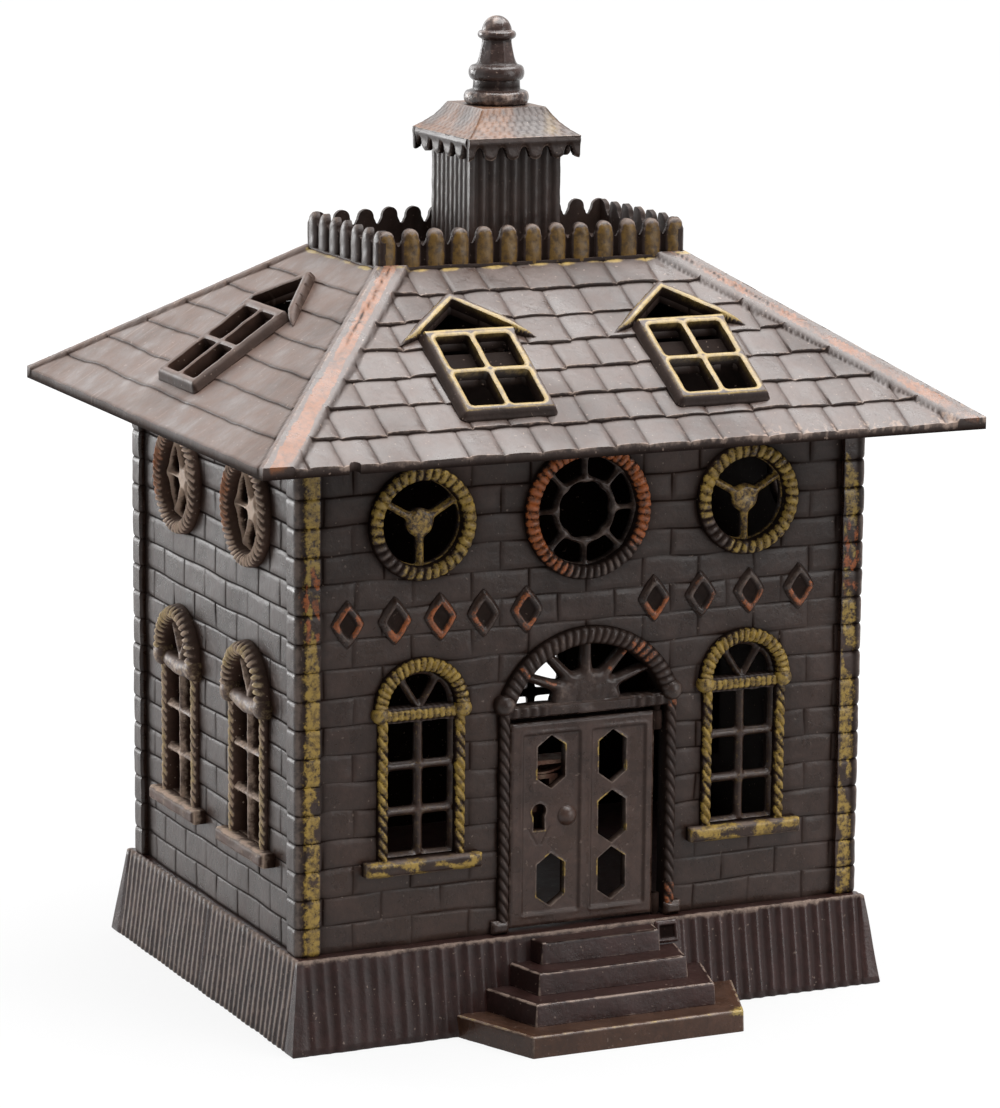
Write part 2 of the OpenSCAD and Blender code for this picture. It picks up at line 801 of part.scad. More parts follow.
module cupola_roof() {
    deck_half = [cupola_w / 2 - cupola_run, cupola_d / 2 - cupola_run];
    inner = [cupola_w - 2 * cupola_wall, cupola_d - 2 * cupola_wall];
    curve = [[0, 0], [0.3, 0.2], [0.6, 0.46], [0.85, 0.76], [1, 1]];
    px = [for (p = curve) [cupola_w / 2 - p[0] * cupola_run, p[1] * cupola_h]];
    py = [for (p = curve) [cupola_d / 2 - p[0] * cupola_run, p[1] * cupola_h]];
    color(roof_iron) difference() {
        union() {
            translate([0, 0, cupola_eave_z]) intersection() {
                rotate([90, 0, 0]) linear_extrude(2 * cupola_d, center = true)
                    polygon(concat(px, mirrored(px)));
                rotate([90, 0, 90]) linear_extrude(2 * cupola_d, center = true)
                    polygon(concat(py, mirrored(py)));
            }
            translate([-cupola_w / 2, -cupola_d / 2, cupola_eave_z - valance_h])
                cube([cupola_w, cupola_d, valance_h]);
        }
        translate([-inner[0] / 2, -inner[1] / 2, cupola_eave_z - valance_h - 1])
            cube([inner[0], inner[1], valance_h + 1 - (cupola_eave_z - tower_z)]);
        for (i = [0 : scallops - 1]) {
            pitch_x = cupola_w / scallops;
            pitch_y = cupola_d / scallops;
            on_front(cupola_d, 2 * cupola_d)
                translate([(i + 0.5 - scallops / 2) * pitch_x, 0]) scallop_2d(pitch_x);
            rotate([0, 0, 90]) on_front(cupola_d, 2 * cupola_d)
                translate([(i + 0.5 - scallops / 2) * pitch_y, 0]) scallop_2d(pitch_y);
        }
        translate([0, 0, tower_z - 1]) cylinder(r = rod_r + pin_gap, h = 2 * cupola_h + 4);
    }
}

// Points of a half-round bead on the profile, from its lower edge to its upper one
function bead(r, z, h, bulge) =
    [for (a = [-90 : 22.5 : 90]) [r - bulge + bulge * cos(a), z + h / 2 + h / 2 * sin(a)]];

module finial() {
    h = finial_h;
    r = finial_r;
    neck_r = 0.46 * r;
    profile = concat([[0, 0]], bead(r, 0, 0.15 * h, 0.11 * r), [[0.73 * r, 0.17 * h], [0.72 * r, 0.25 * h]],
        bead(0.86 * r, 0.27 * h, 0.17 * h, 0.14 * r), [[0.61 * r, 0.46 * h], [neck_r, 0.73 * h]],
        bead(0.59 * r, 0.74 * h, 0.09 * h, 0.1 * r),
        [for (a = [0 : 15 : 90]) [neck_r * cos(a), 0.83 * h + 0.17 * h * sin(a)]]);
    color(roof_iron) translate([0, 0, finial_z]) difference() {
        rotate_extrude() polygon(profile);
        translate([0, 0, -1]) cylinder(r = rod_r, h = rod_top - finial_z + 1);
    }
}

module tie_rod() {
    color(steel) translate([0, 0, rod_bottom]) cylinder(r = rod_r, h = rod_top - rod_bottom);
}

module rod_nut() {
    color(steel) translate([0, 0, nut_z - nut_t]) difference() {
        translate([-nut_w / 2, -nut_w / 2, 0]) cube([nut_w, nut_w, nut_t]);
        translate([0, 0, -1]) cylinder(r = rod_r, h = nut_t + 2);
    }
}

// Elongated hexagon, upright, centred on its origin
module hexagon_2d(w, h) {
    shoulder = h / 2 - w * 0.36;
    polygon([[0, h / 2], [w / 2, shoulder], [w / 2, -shoulder],
        [0, -h / 2], [-w / 2, -shoulder], [-w / 2, shoulder]]);
}

module keyhole_2d() {
    translate([key_x, key_z]) circle(key_r);
    translate([key_x - key_r * 0.75, key_z - key_drop]) square([1.5 * key_r, key_drop]);
}

// Hinge knuckle with its pintle, at the foot of the leaf or, turned over, at its head
module knuckle() {
    cylinder(r = knuckle_r, h = knuckle_h);
    translate([0, 0, -pintle_l]) cylinder(r = pintle_r, h = pintle_l + 1);
    translate([-hinge_gap, -strap_front, 0]) cube([hinge_gap, strap_t, knuckle_h]);
}

module door() {
    color(iron) difference() {
        union() {
            on_front(-brick_y + leaf_t, leaf_t) difference() {
                translate([leaf_l, leaf_z]) square([leaf_w, leaf_h]);
                for (z = hex_rows) translate([leaf_l + hex_right, leaf_z + z]) hexagon_2d(hex_w, hex_h);
                for (z = [hex_rows[0], hex_rows[2]])
                    translate([leaf_l + hex_left, leaf_z + z]) hexagon_2d(hex_w, hex_h);
                keyhole_2d();
            }
            translate([hinge_x, hinge_y, leaf_z]) knuckle();
            translate([hinge_x, hinge_y, leaf_z + leaf_h]) mirror([0, 0, 1]) knuckle();
        }
        for (p = panels)
            on_front(-brick_y + panel_sink, 1) translate([leaf_l + p[0], leaf_z + panel_edge])
                square([p[1], leaf_h - 2 * panel_edge]);
        translate([guide_x, lock_y + 1, guide_z]) rotate([90, 0, 0]) cylinder(r = guide_r, h = leaf_t + 2);
        translate([rivet_x, lock_y + 1, rivet_z]) rotate([90, 0, 0]) cylinder(r = rivet_r, h = leaf_t + 2);
    }
}

module lock_case() {
    case_y = lock_y + case_d;
    color(steel) difference() {
        translate([case_l, lock_y, case_z]) cube([case_w, case_d, case_h]);
        translate([case_l + case_t, lock_y - 1, case_z + case_t])
            cube([case_w - 2 * case_t, case_d - case_t + 1, case_h - 2 * case_t]);
        translate([case_l - 1, bolt_y - slide_gap, bolt_z - slide_gap])
            cube([2 + case_t, bolt_t + 2 * slide_gap, bolt_h + 2 * slide_gap]);
        for (p = [[guide_x, guide_z, guide_r], [rivet_x, rivet_z, rivet_r], [key_x, key_z, guide_r]])
            translate([p[0], case_y + 1, p[1]]) rotate([90, 0, 0]) cylinder(r = p[2], h = case_t + 2);
    }
}

// Pin through the lock from the door's face to the back of the case
module lock_pin(x, z, r, y0) {
    translate([x, lock_y + case_d, z]) rotate([90, 0, 0]) cylinder(r = r, h = lock_y + case_d - y0);
}

module case_rivet() {
    dome_r = 2.6;
    color(iron) {
        lock_pin(rivet_x, rivet_z, rivet_r, -brick_y + panel_sink);
        translate([rivet_x, -brick_y + panel_sink, rivet_z]) rotate([90, 0, 0])
            intersection() {
                translate([0, 0, rivet_head_h - dome_r]) sphere(dome_r);
                cylinder(r = rivet_head_r, h = rivet_head_h + 1);
            }
    }
}

module guide_rivet() {
    color(iron) lock_pin(guide_x, guide_z, guide_r, -brick_y + panel_sink);
}

module key_post() {
    color(steel) lock_pin(key_x, key_z, guide_r, lock_y + pin_short);
}

// Bowed leaf between the bolt's top and the roof of the case
module lock_spring() {
    half = 5.8;
    leaf = 0.4;
    room = case_z + case_h - case_t - bolt_z - bolt_h - slide_gap / 2;
    sag = room - leaf - 0.1;
    bow_r = (half * half + sag * sag) / (2 * sag);
    x_mid = key_x + 1.8;
    top = case_z + case_h - case_t;
    color(steel) on_front(bolt_y + bolt_t, bolt_t) intersection() {
        translate([x_mid, top - room + bow_r]) difference() {
            circle(bow_r, $fn = 96);
            circle(bow_r - leaf, $fn = 96);
        }
        translate([x_mid - half, top - room - 1]) square([2 * half, room + 0.99]);
    }
}

module lock_bolt() {
    slot_room = bolt_throw + 2 * guide_r + 2 * slide_gap;
    talon_w = 3.4;
    color(steel) on_front(bolt_y + bolt_t, bolt_t) difference() {
        translate([bolt_l, bolt_z]) square([bolt_len, bolt_h]);
        translate([guide_x - guide_r - slide_gap, guide_z - guide_r - slide_gap])
            square([slot_room, 2 * (guide_r + slide_gap)]);
        translate([key_x - talon_w / 2, bolt_z - 1]) square([talon_w, 2.4]);
    }
}

base();
front_wall();
rear_wall();
left_wall();
right_wall();
roof();
cupola_roof();
finial();
tie_rod();
rod_nut();
door();
lock_case();
case_rivet();
guide_rivet();
key_post();
lock_spring();
lock_bolt();
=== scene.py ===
"""Looks of a cast iron building bank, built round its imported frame.

Every casting is a relief worked out with numpy in millimetres and stood where the frame has its node.
"""
import math

import bpy
import numpy as np
from bpy.props import FloatProperty, FloatVectorProperty, IntProperty, PointerProperty
from bpy.types import Operator, Panel, PropertyGroup
from mathutils import Matrix, Vector


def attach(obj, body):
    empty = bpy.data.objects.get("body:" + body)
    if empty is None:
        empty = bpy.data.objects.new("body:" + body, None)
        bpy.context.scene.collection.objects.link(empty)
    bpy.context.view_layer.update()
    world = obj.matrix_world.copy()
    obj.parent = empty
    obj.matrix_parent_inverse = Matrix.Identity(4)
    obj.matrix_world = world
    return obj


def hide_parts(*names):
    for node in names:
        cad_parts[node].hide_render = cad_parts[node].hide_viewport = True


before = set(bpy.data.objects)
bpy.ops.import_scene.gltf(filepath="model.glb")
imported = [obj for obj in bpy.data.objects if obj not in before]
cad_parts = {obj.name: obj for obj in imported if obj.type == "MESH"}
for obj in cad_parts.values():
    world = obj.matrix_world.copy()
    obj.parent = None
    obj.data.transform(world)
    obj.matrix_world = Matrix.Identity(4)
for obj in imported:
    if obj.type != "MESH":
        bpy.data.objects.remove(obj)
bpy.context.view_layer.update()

bl_info = {
    "name": "Cast iron building bank",
    "version": (1, 0, 0),
    "blender": (4, 5, 0),
    "location": "View3D > Sidebar > Building Bank",
    "description": "Relief castings, worn japan and bronzing of a cast iron building bank",
    "category": "Object",
}

MM = 0.001

# Main sizes of the castings, in millimetres, as the frame has them
WALL_FOOT, WALL_TOP, COURSES = 19.0, 124.5, 18
BRICK_X, BRICK_Y, WALL_T, QUOIN = 63.3, 45.5, 2.6, 5.4
BODY_X, BODY_Y = 64.6, 46.8
COURSE = (WALL_TOP - WALL_FOOT) / COURSES
SILL_Z, SPRING_Z, WINDOW_R, TRANSOM = 37.3, 68.3, 7.6, 2.6
OCULUS_Z, OCULUS_R, ROSE_R = 106.2, 8.7, 11.2
DOOR_X, DOOR_L, DOOR_R, DOOR_TOP = 0.7, -17.15, 18.55, 64.0
FAN_Z, FAN_R = 60.6, 17.9
EAVE_X, EAVE_Y, EAVE_Z = 80.2, 68.2, 123.5
DECK_X, DECK_Y, DECK_Z = 35.0, 19.2, 154.1
ROOF_T, SHINGLE_COURSES = 2.0, 7
DORMER_FOOT, DORMER_W, DORMER_PANES, DORMER_LEN, DORMER_H, DORMER_REACH = 10.9, 19.8, 24.6, 36.7, 2.4, 15.3
FOOT_X, FOOT_Y, TOP_X, TOP_Y = 67.7, 52.4, 65.1, 48.8
STEP_FRONT, STEP_BACK, STEP_HALF, STEP_NARROWS, STEP_GOING, STEP_RISE = -71.7, -47.9, 24.0, 3.4, 6.0, 4.55
STEP_FLARE, FLARE_LOSS = 0.39, 0.08
LEAF_L, LEAF_R, LEAF_FOOT, LEAF_TOP, LEAF_T = -16.55, 16.25, 19.6, 62.8, 2.5

# Places of the openings along each wall
FRONT_WINDOWS, SIDE_WINDOWS = (-36.8, 36.8), (-19.3, 19.3)
REAR_WINDOWS, REAR_OCULI = (-30.0, 30.0), (-30.0, 0.0, 30.0)
HOLE_R, ROUND_HOLE_R, ROSE_HOLE_R = WINDOW_R + 0.8, OCULUS_R + 1.0, ROSE_R + 1.0
LONG_FACES = ("front", "rear")
DORMERS = {"front": (-23.9, 23.9), "rear": (-23.9, 23.9), "left": (0.0,), "right": (0.0,)}
COIN_SLOT_UP, COIN_SLOT_HALF, COIN_SLOT_THICK = 51.5, 16.5, 1.4
LOZENGES, LOZENGE_Z = (-53.0, -42.6, -32.6, -23.0, -13.4, 15.6, 26.4, 37.7, 49.4), 86.7

# Underside of the base, and what stands on the deck
ROD_HOLE_R, BOSS_R, BOSS_FOOT, PLATE_FOOT, SKIRT_T = 2.3, 7.0, 12.0, 16.0, 3.6
DECK_HOLE_X, DECK_HOLE_Y, PICKET_H = 8.2, 7.4, 7.7
TOWER_X, TOWER_Y, TOWER_H = 10.4, 9.6, 23.4
CUPOLA_X, CUPOLA_Y, CUPOLA_EAVE, CUPOLA_RUN, CUPOLA_RISE, VALANCE = 12.7, 14.4, 179.1, 5.5, 5.7, 4.8
FINIAL_R, FINIAL_FOOT, FINIAL_H = 6.8, 184.8, 18.3

# Door: middle and half width of its panels, openings and keyhole, from the leaf's lower left corner
PANELS, PANEL_HALF_H = ((9.35, 6.45), (24.65, 6.15)), 19.0
HEXAGONS = ((23.4, 9.5), (23.4, 21.6), (23.4, 34.5), (9.4, 9.5), (9.4, 34.5))
KEYHOLE_X, KEYHOLE_Z = 6.7, 24.2

# Nick broken out of the front eave
NICK_X, NICK_R = -61.0, 1.2

# What a vertex carries beside its place: gold bronze, copper bronze, rubbed edge, and dirt in a hollow
# together with painted shade on backs, insides and shaded places
MARKS = ("gold", "copper", "wear", "soot")


def linear(hex_colour):
    """An sRGB hex colour as linear red, green, blue and alpha."""
    rgb = np.array([int(hex_colour[i:i + 2], 16) for i in (1, 3, 5)]) / 255
    return (*np.where(rgb <= 0.04045, rgb / 12.92, ((rgb + 0.055) / 1.055) ** 2.4), 1.0)


def length(name, description, default, low, high):
    """A length of the panel: given in millimetres, kept by Blender in metres."""
    return FloatProperty(name=name, description=description, default=default * MM, min=low * MM,
                         max=high * MM, subtype="DISTANCE", unit="LENGTH", precision=5)


def shade(name, description, default):
    """A colour of the panel, given as sRGB hex."""
    return FloatVectorProperty(name=name, description=description, default=linear(default), min=0, max=1,
                               size=4, subtype="COLOR")


class BankSizes(PropertyGroup):
    """Sizes of the relief that the foundry's pattern maker was free to choose."""
    front_brick: length("Front brick", "Length of a brick on the front and rear walls", 12.92, 6, 30)
    side_brick: length("Side brick", "Length of a brick on the side walls", 11.9, 6, 30)
    joint: length("Brick joint", "Depth of the joints between the bricks", 0.3, 0.05, 0.6)
    reed: length("Reed", "Spacing of the reeds round the arches and the round windows", 1.5, 0.8, 3)
    rope: length("Rope", "Spacing of the turns of the roped jambs", 2.4, 1.2, 5)
    shingle: length("Shingle", "Mean width of a shingle", 8.8, 5, 16)
    lap: length("Shingle lap", "Height of a course of shingles over the one below", 0.5, 0.2, 0.8)
    rib: length("Skirt rib", "Spacing of the ribs on the skirt's front and rear", 2.89, 1.5, 5)
    side_rib: length("Side rib", "Spacing of the ribs on the skirt's sides", 2.47, 1.5, 5)
    rib_depth: length("Rib depth", "Depth of the grooves between the skirt's ribs", 0.42, 0.2, 1)
    picket: length("Picket", "Width of a picket of the cresting", 4.1, 2, 4.6)
    frame_bar: length("Dormer bar", "Width of the bars of a dormer", 1.7, 1, 2.6)
    seed: IntProperty(name="Casting", description="Changes the unevenness of the castings", default=11, min=0)


class BankColours(PropertyGroup):
    """Colours of the japan, the bronze powders and the steel."""
    lacquer: shade("Japan", "Thick brown-black japan", "#2e1e17")
    warm: shade("Warm japan", "Japan where it lies thinner and browner", "#37251c")
    # this colour is also that of the painted shade on backs, insides and shaded places
    thin: shade("Thin japan", "Japan that has nearly rubbed through", "#432f27")
    pooled_and_shade: shade("Hollows", "Pooled japan and dirt in the hollows", "#0c0807")
    bare: shade("Bare iron", "Iron on rubbed edges and scratches", "#75655b")
    dust: shade("Dust", "Dust on what faces up", "#5a4c45")
    gold: shade("Gold bronze", "Greenish gold bronze powder", "#a58840")
    dull_gold: shade("Old gold bronze", "Gold bronze where it has gone dull", "#66502a")
    copper: shade("Copper bronze", "Reddish copper bronze powder", "#a85c2e")
    dull_copper: shade("Old copper bronze", "Copper bronze where it has gone dull", "#653f2a")
    steel: shade("Steel", "Steel of the rod and the lock", "#6f6259")
    rust: shade("Rust", "Thin rust on the steel", "#54372a")
    wear: FloatProperty(name="Wear", description="How far the edges are rubbed", default=1.0, min=0, max=2,
                        subtype="FACTOR")
    roughness: FloatProperty(name="Roughness", description="Dullness of the japan", default=0.27,
                             min=0.1, max=0.8, subtype="FACTOR")


def in_mm(metres):
    """A length of the panel in the millimetres of the drawings."""
    return metres / MM


def mark(shape, **amounts):
    """Marks of a grid of points, each amount a number or an array over the grid."""
    out = np.zeros(tuple(shape) + (len(MARKS),))
    for name, amount in amounts.items():
        out[..., MARKS.index(name)] = np.clip(amount, 0, 1)
    return out


def ripple(x, y, size, seed):
    """Smooth random surface: the mean of seven sine waves in seeded directions, each about size long."""
    rng = np.random.default_rng(seed)
    angle, phase = rng.uniform(0, 2 * np.pi, (2, 7))
    rate = 2 * np.pi / (size * rng.uniform(0.7, 1.6, 7))
    waves = [np.sin(r * (x * np.cos(a) + y * np.sin(a)) + p) for r, a, p in zip(rate, angle, phase)]
    return np.sum(waves, 0) / 3.5


def step(x, low, high):
    """Smooth ramp from 0 at low to 1 at high."""
    t = np.clip((x - low) / (high - low), 0, 1)
    return t * t * (3 - 2 * t)


def bell(x, width):
    """Smooth hump: 1 where x is 0, and exp(-(x / width)^2) away from it."""
    return np.exp(-(x / width) ** 2)


def lines(low, high, spacing, at=(), near=(0.08, 0.3)):
    """Grid lines from low to high, with a close set of lines on both sides of each place in at."""
    n = max(int(round((high - low) / spacing)), 1)
    even = np.linspace(low, high, n + 1)
    at = np.asarray([a for a in at if low < a < high])
    if not len(at):
        return even
    away = np.abs(even[:, None] - at[None]).min(1)
    kept = even[(away > near[-1] + spacing * 0.35)]
    close = np.concatenate([at + s * d for s in (-1, 1) for d in near] + [at])
    close = close[(close > low) & (close < high)]
    return np.unique(np.round(np.concatenate([kept, close, [low, high]]), 5))


def grid(left, right, low, high, spacing, rise=None):
    """Even grid of a drawing: its columns are about spacing apart, and its rows the same or about rise."""
    return np.meshgrid(lines(left, right, spacing), lines(low, high, rise or spacing))


def clip(u, v, w, keep, marks):
    """Part of a grid where keep is above 0. Cells on the limit are cut along the line where keep is 0."""
    rows, cols = u.shape
    data = np.concatenate([np.stack([u, v, w], -1), marks], -1).reshape(rows * cols, -1)
    s = keep.ravel().copy()
    s[np.abs(s) < 1e-5] = 1e-5
    inside = s > 0
    k = np.arange(rows * cols).reshape(rows, cols)
    cells = np.stack([k[:-1, :-1], k[:-1, 1:], k[1:, 1:], k[1:, :-1]], -1).reshape(-1, 4)
    count = inside[cells].sum(1)
    quads = cells[count == 4]
    mixed = cells[(count > 0) & (count < 4)]
    tris = np.concatenate([mixed[:, [0, 1, 2]], mixed[:, [0, 2, 3]]])
    count = inside[tris].sum(1)
    one, two = tris[count == 1], tris[count == 2]
    turn = np.arange(3)[None]
    one = np.take_along_axis(one, (np.argmax(inside[one], 1)[:, None] + turn) % 3, 1)
    two = np.take_along_axis(two, (np.argmax(~inside[two], 1)[:, None] + turn) % 3, 1)
    ends = np.concatenate([one[:, [0, 1]], one[:, [0, 2]], two[:, [0, 1]], two[:, [0, 2]]])
    pairs, which = np.unique(np.sort(ends, 1), axis=0, return_inverse=True)
    t = (s[pairs[:, 0]] / (s[pairs[:, 0]] - s[pairs[:, 1]]))[:, None]
    data = np.concatenate([data, data[pairs[:, 0]] * (1 - t) + data[pairs[:, 1]] * t])
    a, b, c, d = np.split(rows * cols + which.ravel(), np.cumsum([len(one), len(one), len(two)]))
    tris = np.concatenate([tris[count == 3], np.stack([one[:, 0], a, b], 1)])
    quads = np.concatenate([quads, np.stack([c, two[:, 1], two[:, 2], d], 1)])
    used = np.unique(np.concatenate([quads.ravel(), tris.ravel()]))
    return data[used, :3], np.searchsorted(used, quads), np.searchsorted(used, tris), data[used, 3:]


def slab(u, v, w, keep, marks, back, dirt=1.0):
    """Relief sheet: a clipped grid, its copy at the height back, and walls between, both darkened as painted
    shade.
    """
    points, quads, tris, m = clip(u, v, w, keep, marks)
    n = len(points)
    under = points.copy()
    under[:, 2] = back(points[:, 0], points[:, 1]) if callable(back) else back
    edges = np.concatenate([quads[:, [i, (i + 1) % 4]] for i in range(4)]
                           + [tris[:, [i, (i + 1) % 3]] for i in range(3)])
    rim = edges[~np.isin(edges[:, 0] * n + edges[:, 1], edges[:, 1] * n + edges[:, 0])]
    walls = np.stack([rim[:, 1], rim[:, 0], rim[:, 0] + n, rim[:, 1] + n], 1)
    # painted shade: the back and the walls between go dark by the amount given
    shaded_back = mark((n,), soot=dirt)
    return (np.concatenate([points, under]), np.concatenate([quads, quads[:, ::-1] + n, walls]),
            np.concatenate([tris, tris[:, ::-1] + n]), np.concatenate([m, shaded_back]))


def lattice(points, marks, loop=False):
    """Closed surface over a grid of points: its columns run round it, its rows run along it, and its two
    ends are joined (loop) or shut with a fan."""
    rows, cols = points.shape[:2]
    k = np.arange(rows * cols).reshape(rows, cols)
    k = np.concatenate([k, k[:, :1]], 1)
    k = np.concatenate([k, k[:1]], 0) if loop else k
    quads = np.stack([k[:-1, :-1], k[:-1, 1:], k[1:, 1:], k[1:, :-1]], -1).reshape(-1, 4)
    p, m = points.reshape(-1, 3), marks.reshape(rows * cols, -1)
    tris = np.zeros((0, 3), int)
    if not loop:
        first, last = k[0], k[-1]
        n = len(p)
        p = np.concatenate([p, points[:1].mean(1), points[-1:].mean(1)])
        m = np.concatenate([m, marks[:1].mean(1), marks[-1:].mean(1)])
        tris = np.concatenate([np.stack([np.full(cols, n), first[1:], first[:-1]], 1),
                               np.stack([np.full(cols, n + 1), last[:-1], last[1:]], 1)])
    return p, quads, tris, m


def outward(patch):
    """The patch with its faces turned outwards, judged by the sign of the volume that it holds."""
    p, quads, tris, m = patch
    t = np.concatenate([quads[:, [0, 1, 2]], quads[:, [0, 2, 3]], tris])
    centred = p - p.mean(0)
    volume = np.einsum("ij,ij->i", centred[t[:, 0]], np.cross(centred[t[:, 1]], centred[t[:, 2]])).sum()
    return patch if volume > 0 else (p, quads[:, ::-1], tris[:, ::-1], m)


def joined(patches):
    """Several patches as one."""
    starts = np.cumsum([0] + [len(p[0]) for p in patches[:-1]])
    return tuple(np.concatenate([p[i] + start * (i in (1, 2)) for p, start in zip(patches, starts)])
                 for i in range(4))


def placed(patch, where):
    """The patch moved from the plane of its drawing (u, v, w) by where, which gives x, y and z."""
    p = patch[0]
    return (np.stack(where(p[:, 0], p[:, 1], p[:, 2]), 1),) + patch[1:]


def sweep(path, across, offset, height, marks, loop):
    """Profile carried along a path in the drawing's plane: point = path + across * offset, at height."""
    uv = path[:, None] + across[:, None] * offset[..., None]
    return outward(lattice(np.concatenate([uv, height[..., None]], -1), marks, loop))


def turned(radius, height, centre, marks, turns, shape=None):
    """Solid of revolution about the drawing's normal, from a profile of radii and heights."""
    angle = np.linspace(0, 2 * np.pi, turns, endpoint=False)[None]
    r = radius[:, None] * (1 if shape is None else shape(angle, height[:, None]))
    u, v = centre[0] + r * np.cos(angle), centre[1] + r * np.sin(angle)
    return outward(lattice(np.stack([u, v, height[:, None] + 0 * u], -1), marks(u.shape)))


def faced(face, along, out, z):
    """The x, y and z of a place on one face, given along it, out from the plan's middle, and up."""
    return {"front": (along, -out, z), "rear": (-along, out, z),
            "left": (-out, -along, z), "right": (out, along, z)}[face]


def on_wall(face):
    """Turns a wall's drawing (across, up, out) to its face of the building."""
    half = BRICK_Y if face in LONG_FACES else BRICK_X
    return lambda u, v, w: faced(face, u, half + w, v)


def on_slope(face):
    """Turns a slope's drawing (along the eave, up the slope, out of it) to its face of the roof."""
    half, run = (EAVE_Y, EAVE_Y - DECK_Y) if face in LONG_FACES else (EAVE_X, EAVE_X - DECK_X)
    pitch = math.atan2(DECK_Z - EAVE_Z, run)
    c, s = math.cos(pitch), math.sin(pitch)
    return lambda u, v, w: faced(face, u, half - v * c + w * s, EAVE_Z + v * s + w * c)


def casting(name, patches, material, node, sharp=38, body="building"):
    """One object from patches in millimetres, in place of a node of the frame, with its marks as attributes
    and its edges sharp above an angle."""
    points, quads, tris, marks = joined([outward(p) for p in patches])
    mesh = bpy.data.meshes.new(name)
    mesh.vertices.add(len(points))
    mesh.vertices.foreach_set("co", (points * MM).ravel().astype(np.float32))
    mesh.loops.add(4 * len(quads) + 3 * len(tris))
    mesh.loops.foreach_set("vertex_index", np.concatenate([quads.ravel(), tris.ravel()]).astype(np.int32))
    mesh.polygons.add(len(quads) + len(tris))
    starts = np.concatenate([np.arange(len(quads)) * 4, 4 * len(quads) + np.arange(len(tris)) * 3])
    mesh.polygons.foreach_set("loop_start", starts.astype(np.int32))
    mesh.update(calc_edges=True)
    for i, mark_name in enumerate(MARKS):
        layer = mesh.attributes.new(mark_name, "FLOAT", "POINT")
        layer.data.foreach_set("value", marks[:, i].astype(np.float32))
    mesh.polygons.foreach_set("use_smooth", np.ones(len(quads) + len(tris), bool))
    mesh.set_sharp_from_angle(angle=math.radians(sharp))
    mesh.validate()
    obj = bpy.data.objects.new(name, mesh)
    bpy.context.scene.collection.objects.link(obj)
    mesh.materials.append(material)
    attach(obj, body)
    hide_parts(node)


def moulding(line, width, height, foot, twist, depth, top, fullness=0.5, rub=0.65, dirt=1.0, **paint):
    """Cast moulding on a line: a crown (1 - |x|^2.4)^fullness whose height falls in the reeds, which are
    (0.5 + 0.5 cos 2 pi (s / pitch + twist x))^1.6, with a straight side down to foot at the opening."""
    path, across, length, pitch, closed = line
    x = np.linspace(-1, 1, 11)[None]
    s = length[:, None]
    groove = (0.5 + 0.5 * np.cos(2 * np.pi * (s / pitch + twist * x))) ** 1.6
    crown = (1 - np.abs(x) ** 2.4) ** fullness
    h = top + (height - top) * crown * (1 - depth * groove) + 0.06 * ripple(s, x * width, 3.0, 5)
    offset = np.concatenate([x * width / 2 + 0 * s, 0 * s + width / 2, 0 * s - width / 2], 1)
    heights = np.concatenate([h, 0 * s - 0.5, 0 * s + foot], 1)
    ridge = np.concatenate([crown * (1 - groove), 0 * s, 0 * s], 1)
    # dirt in the reeds' grooves and at the crown's edges; the straight sides go dark as painted shade
    hollow = np.concatenate([dirt * (0.8 * groove * crown + (1 - crown) * 0.9), 1 + 0 * s, 1 + 0 * s], 1)
    face = np.concatenate([(0.3 + 0.7 * crown) * (1 - 0.6 * groove), 0 * s, 0 * s], 1)
    painted = {key: face * np.reshape(amount, (-1, 1)) for key, amount in paint.items()}
    marks = mark(offset.shape, wear=rub * ridge, soot=hollow, **painted)
    return sweep(path, across, offset, heights, marks, closed)


def arc(radius, centre, start, end, reed, per_reed=6):
    """Points, outward directions and lengths along a circle, between two angles in degrees."""
    closed = abs(end - start) >= 360
    count = max(int(round(math.radians(abs(end - start)) * radius / reed)), 4)
    pitch = math.radians(abs(end - start)) * radius / count
    n = count * per_reed
    a = np.radians(np.linspace(start, end, n, endpoint=False) if closed else np.linspace(start, end, n + 1))
    across = np.stack([np.cos(a), np.sin(a)], 1)
    return np.array(centre) + radius * across, across, np.abs(a - a[0]) * radius, pitch, closed


def straight(x, low, high, side, reed, per_reed=8):
    """Points, outward directions and lengths up a line; side is -1 or 1, away from the opening."""
    count = max(int(round((high - low) / reed)), 2)
    z = np.linspace(low, high, count * per_reed + 1)
    path = np.stack([np.full_like(z, x), z], 1)
    return path, np.tile([float(side), 0.0], (len(z), 1)), z - low, (high - low) / count, False


def merged(distances, fillet):
    """Distance inside a union whose inner corners are filled: fillet log sum exp(distance / fillet)."""
    return fillet * np.logaddexp.reduce([d / fillet for d in distances])


def inside_bar(u, v, x0, y0, x1, y1, half, end=None):
    """Distance inside a bar with round ends, whose half width goes from half to end."""
    dx, dy = x1 - x0, y1 - y0
    t = np.clip(((u - x0) * dx + (v - y0) * dy) / (dx * dx + dy * dy), 0, 1)
    return half + ((half if end is None else end) - half) * t - np.hypot(u - x0 - t * dx, v - y0 - t * dy)


def grille(u, v, keep, share, low, high, back, **paint):
    """Open casting of bars, low + (high - low) (1 - (1 - share)^2) high; share is 1 on a bar's middle."""
    bulge = 1 - (1 - np.clip(share, 0, 1)) ** 2
    w = low + (high - low) * bulge + 0.06 * ripple(u, v, 2.5, 3)
    painted = {"wear": 0.35 * bulge, "soot": 0.45 * (1 - bulge), **paint}
    return slab(u, v, w, keep, mark(u.shape, **painted), back)


def patchy(line, size, seed, low, high):
    """Where bronze is left along a line: a ramp over a slow ripple."""
    return step(ripple(line[2], 0 * line[2], size, seed), low, high)


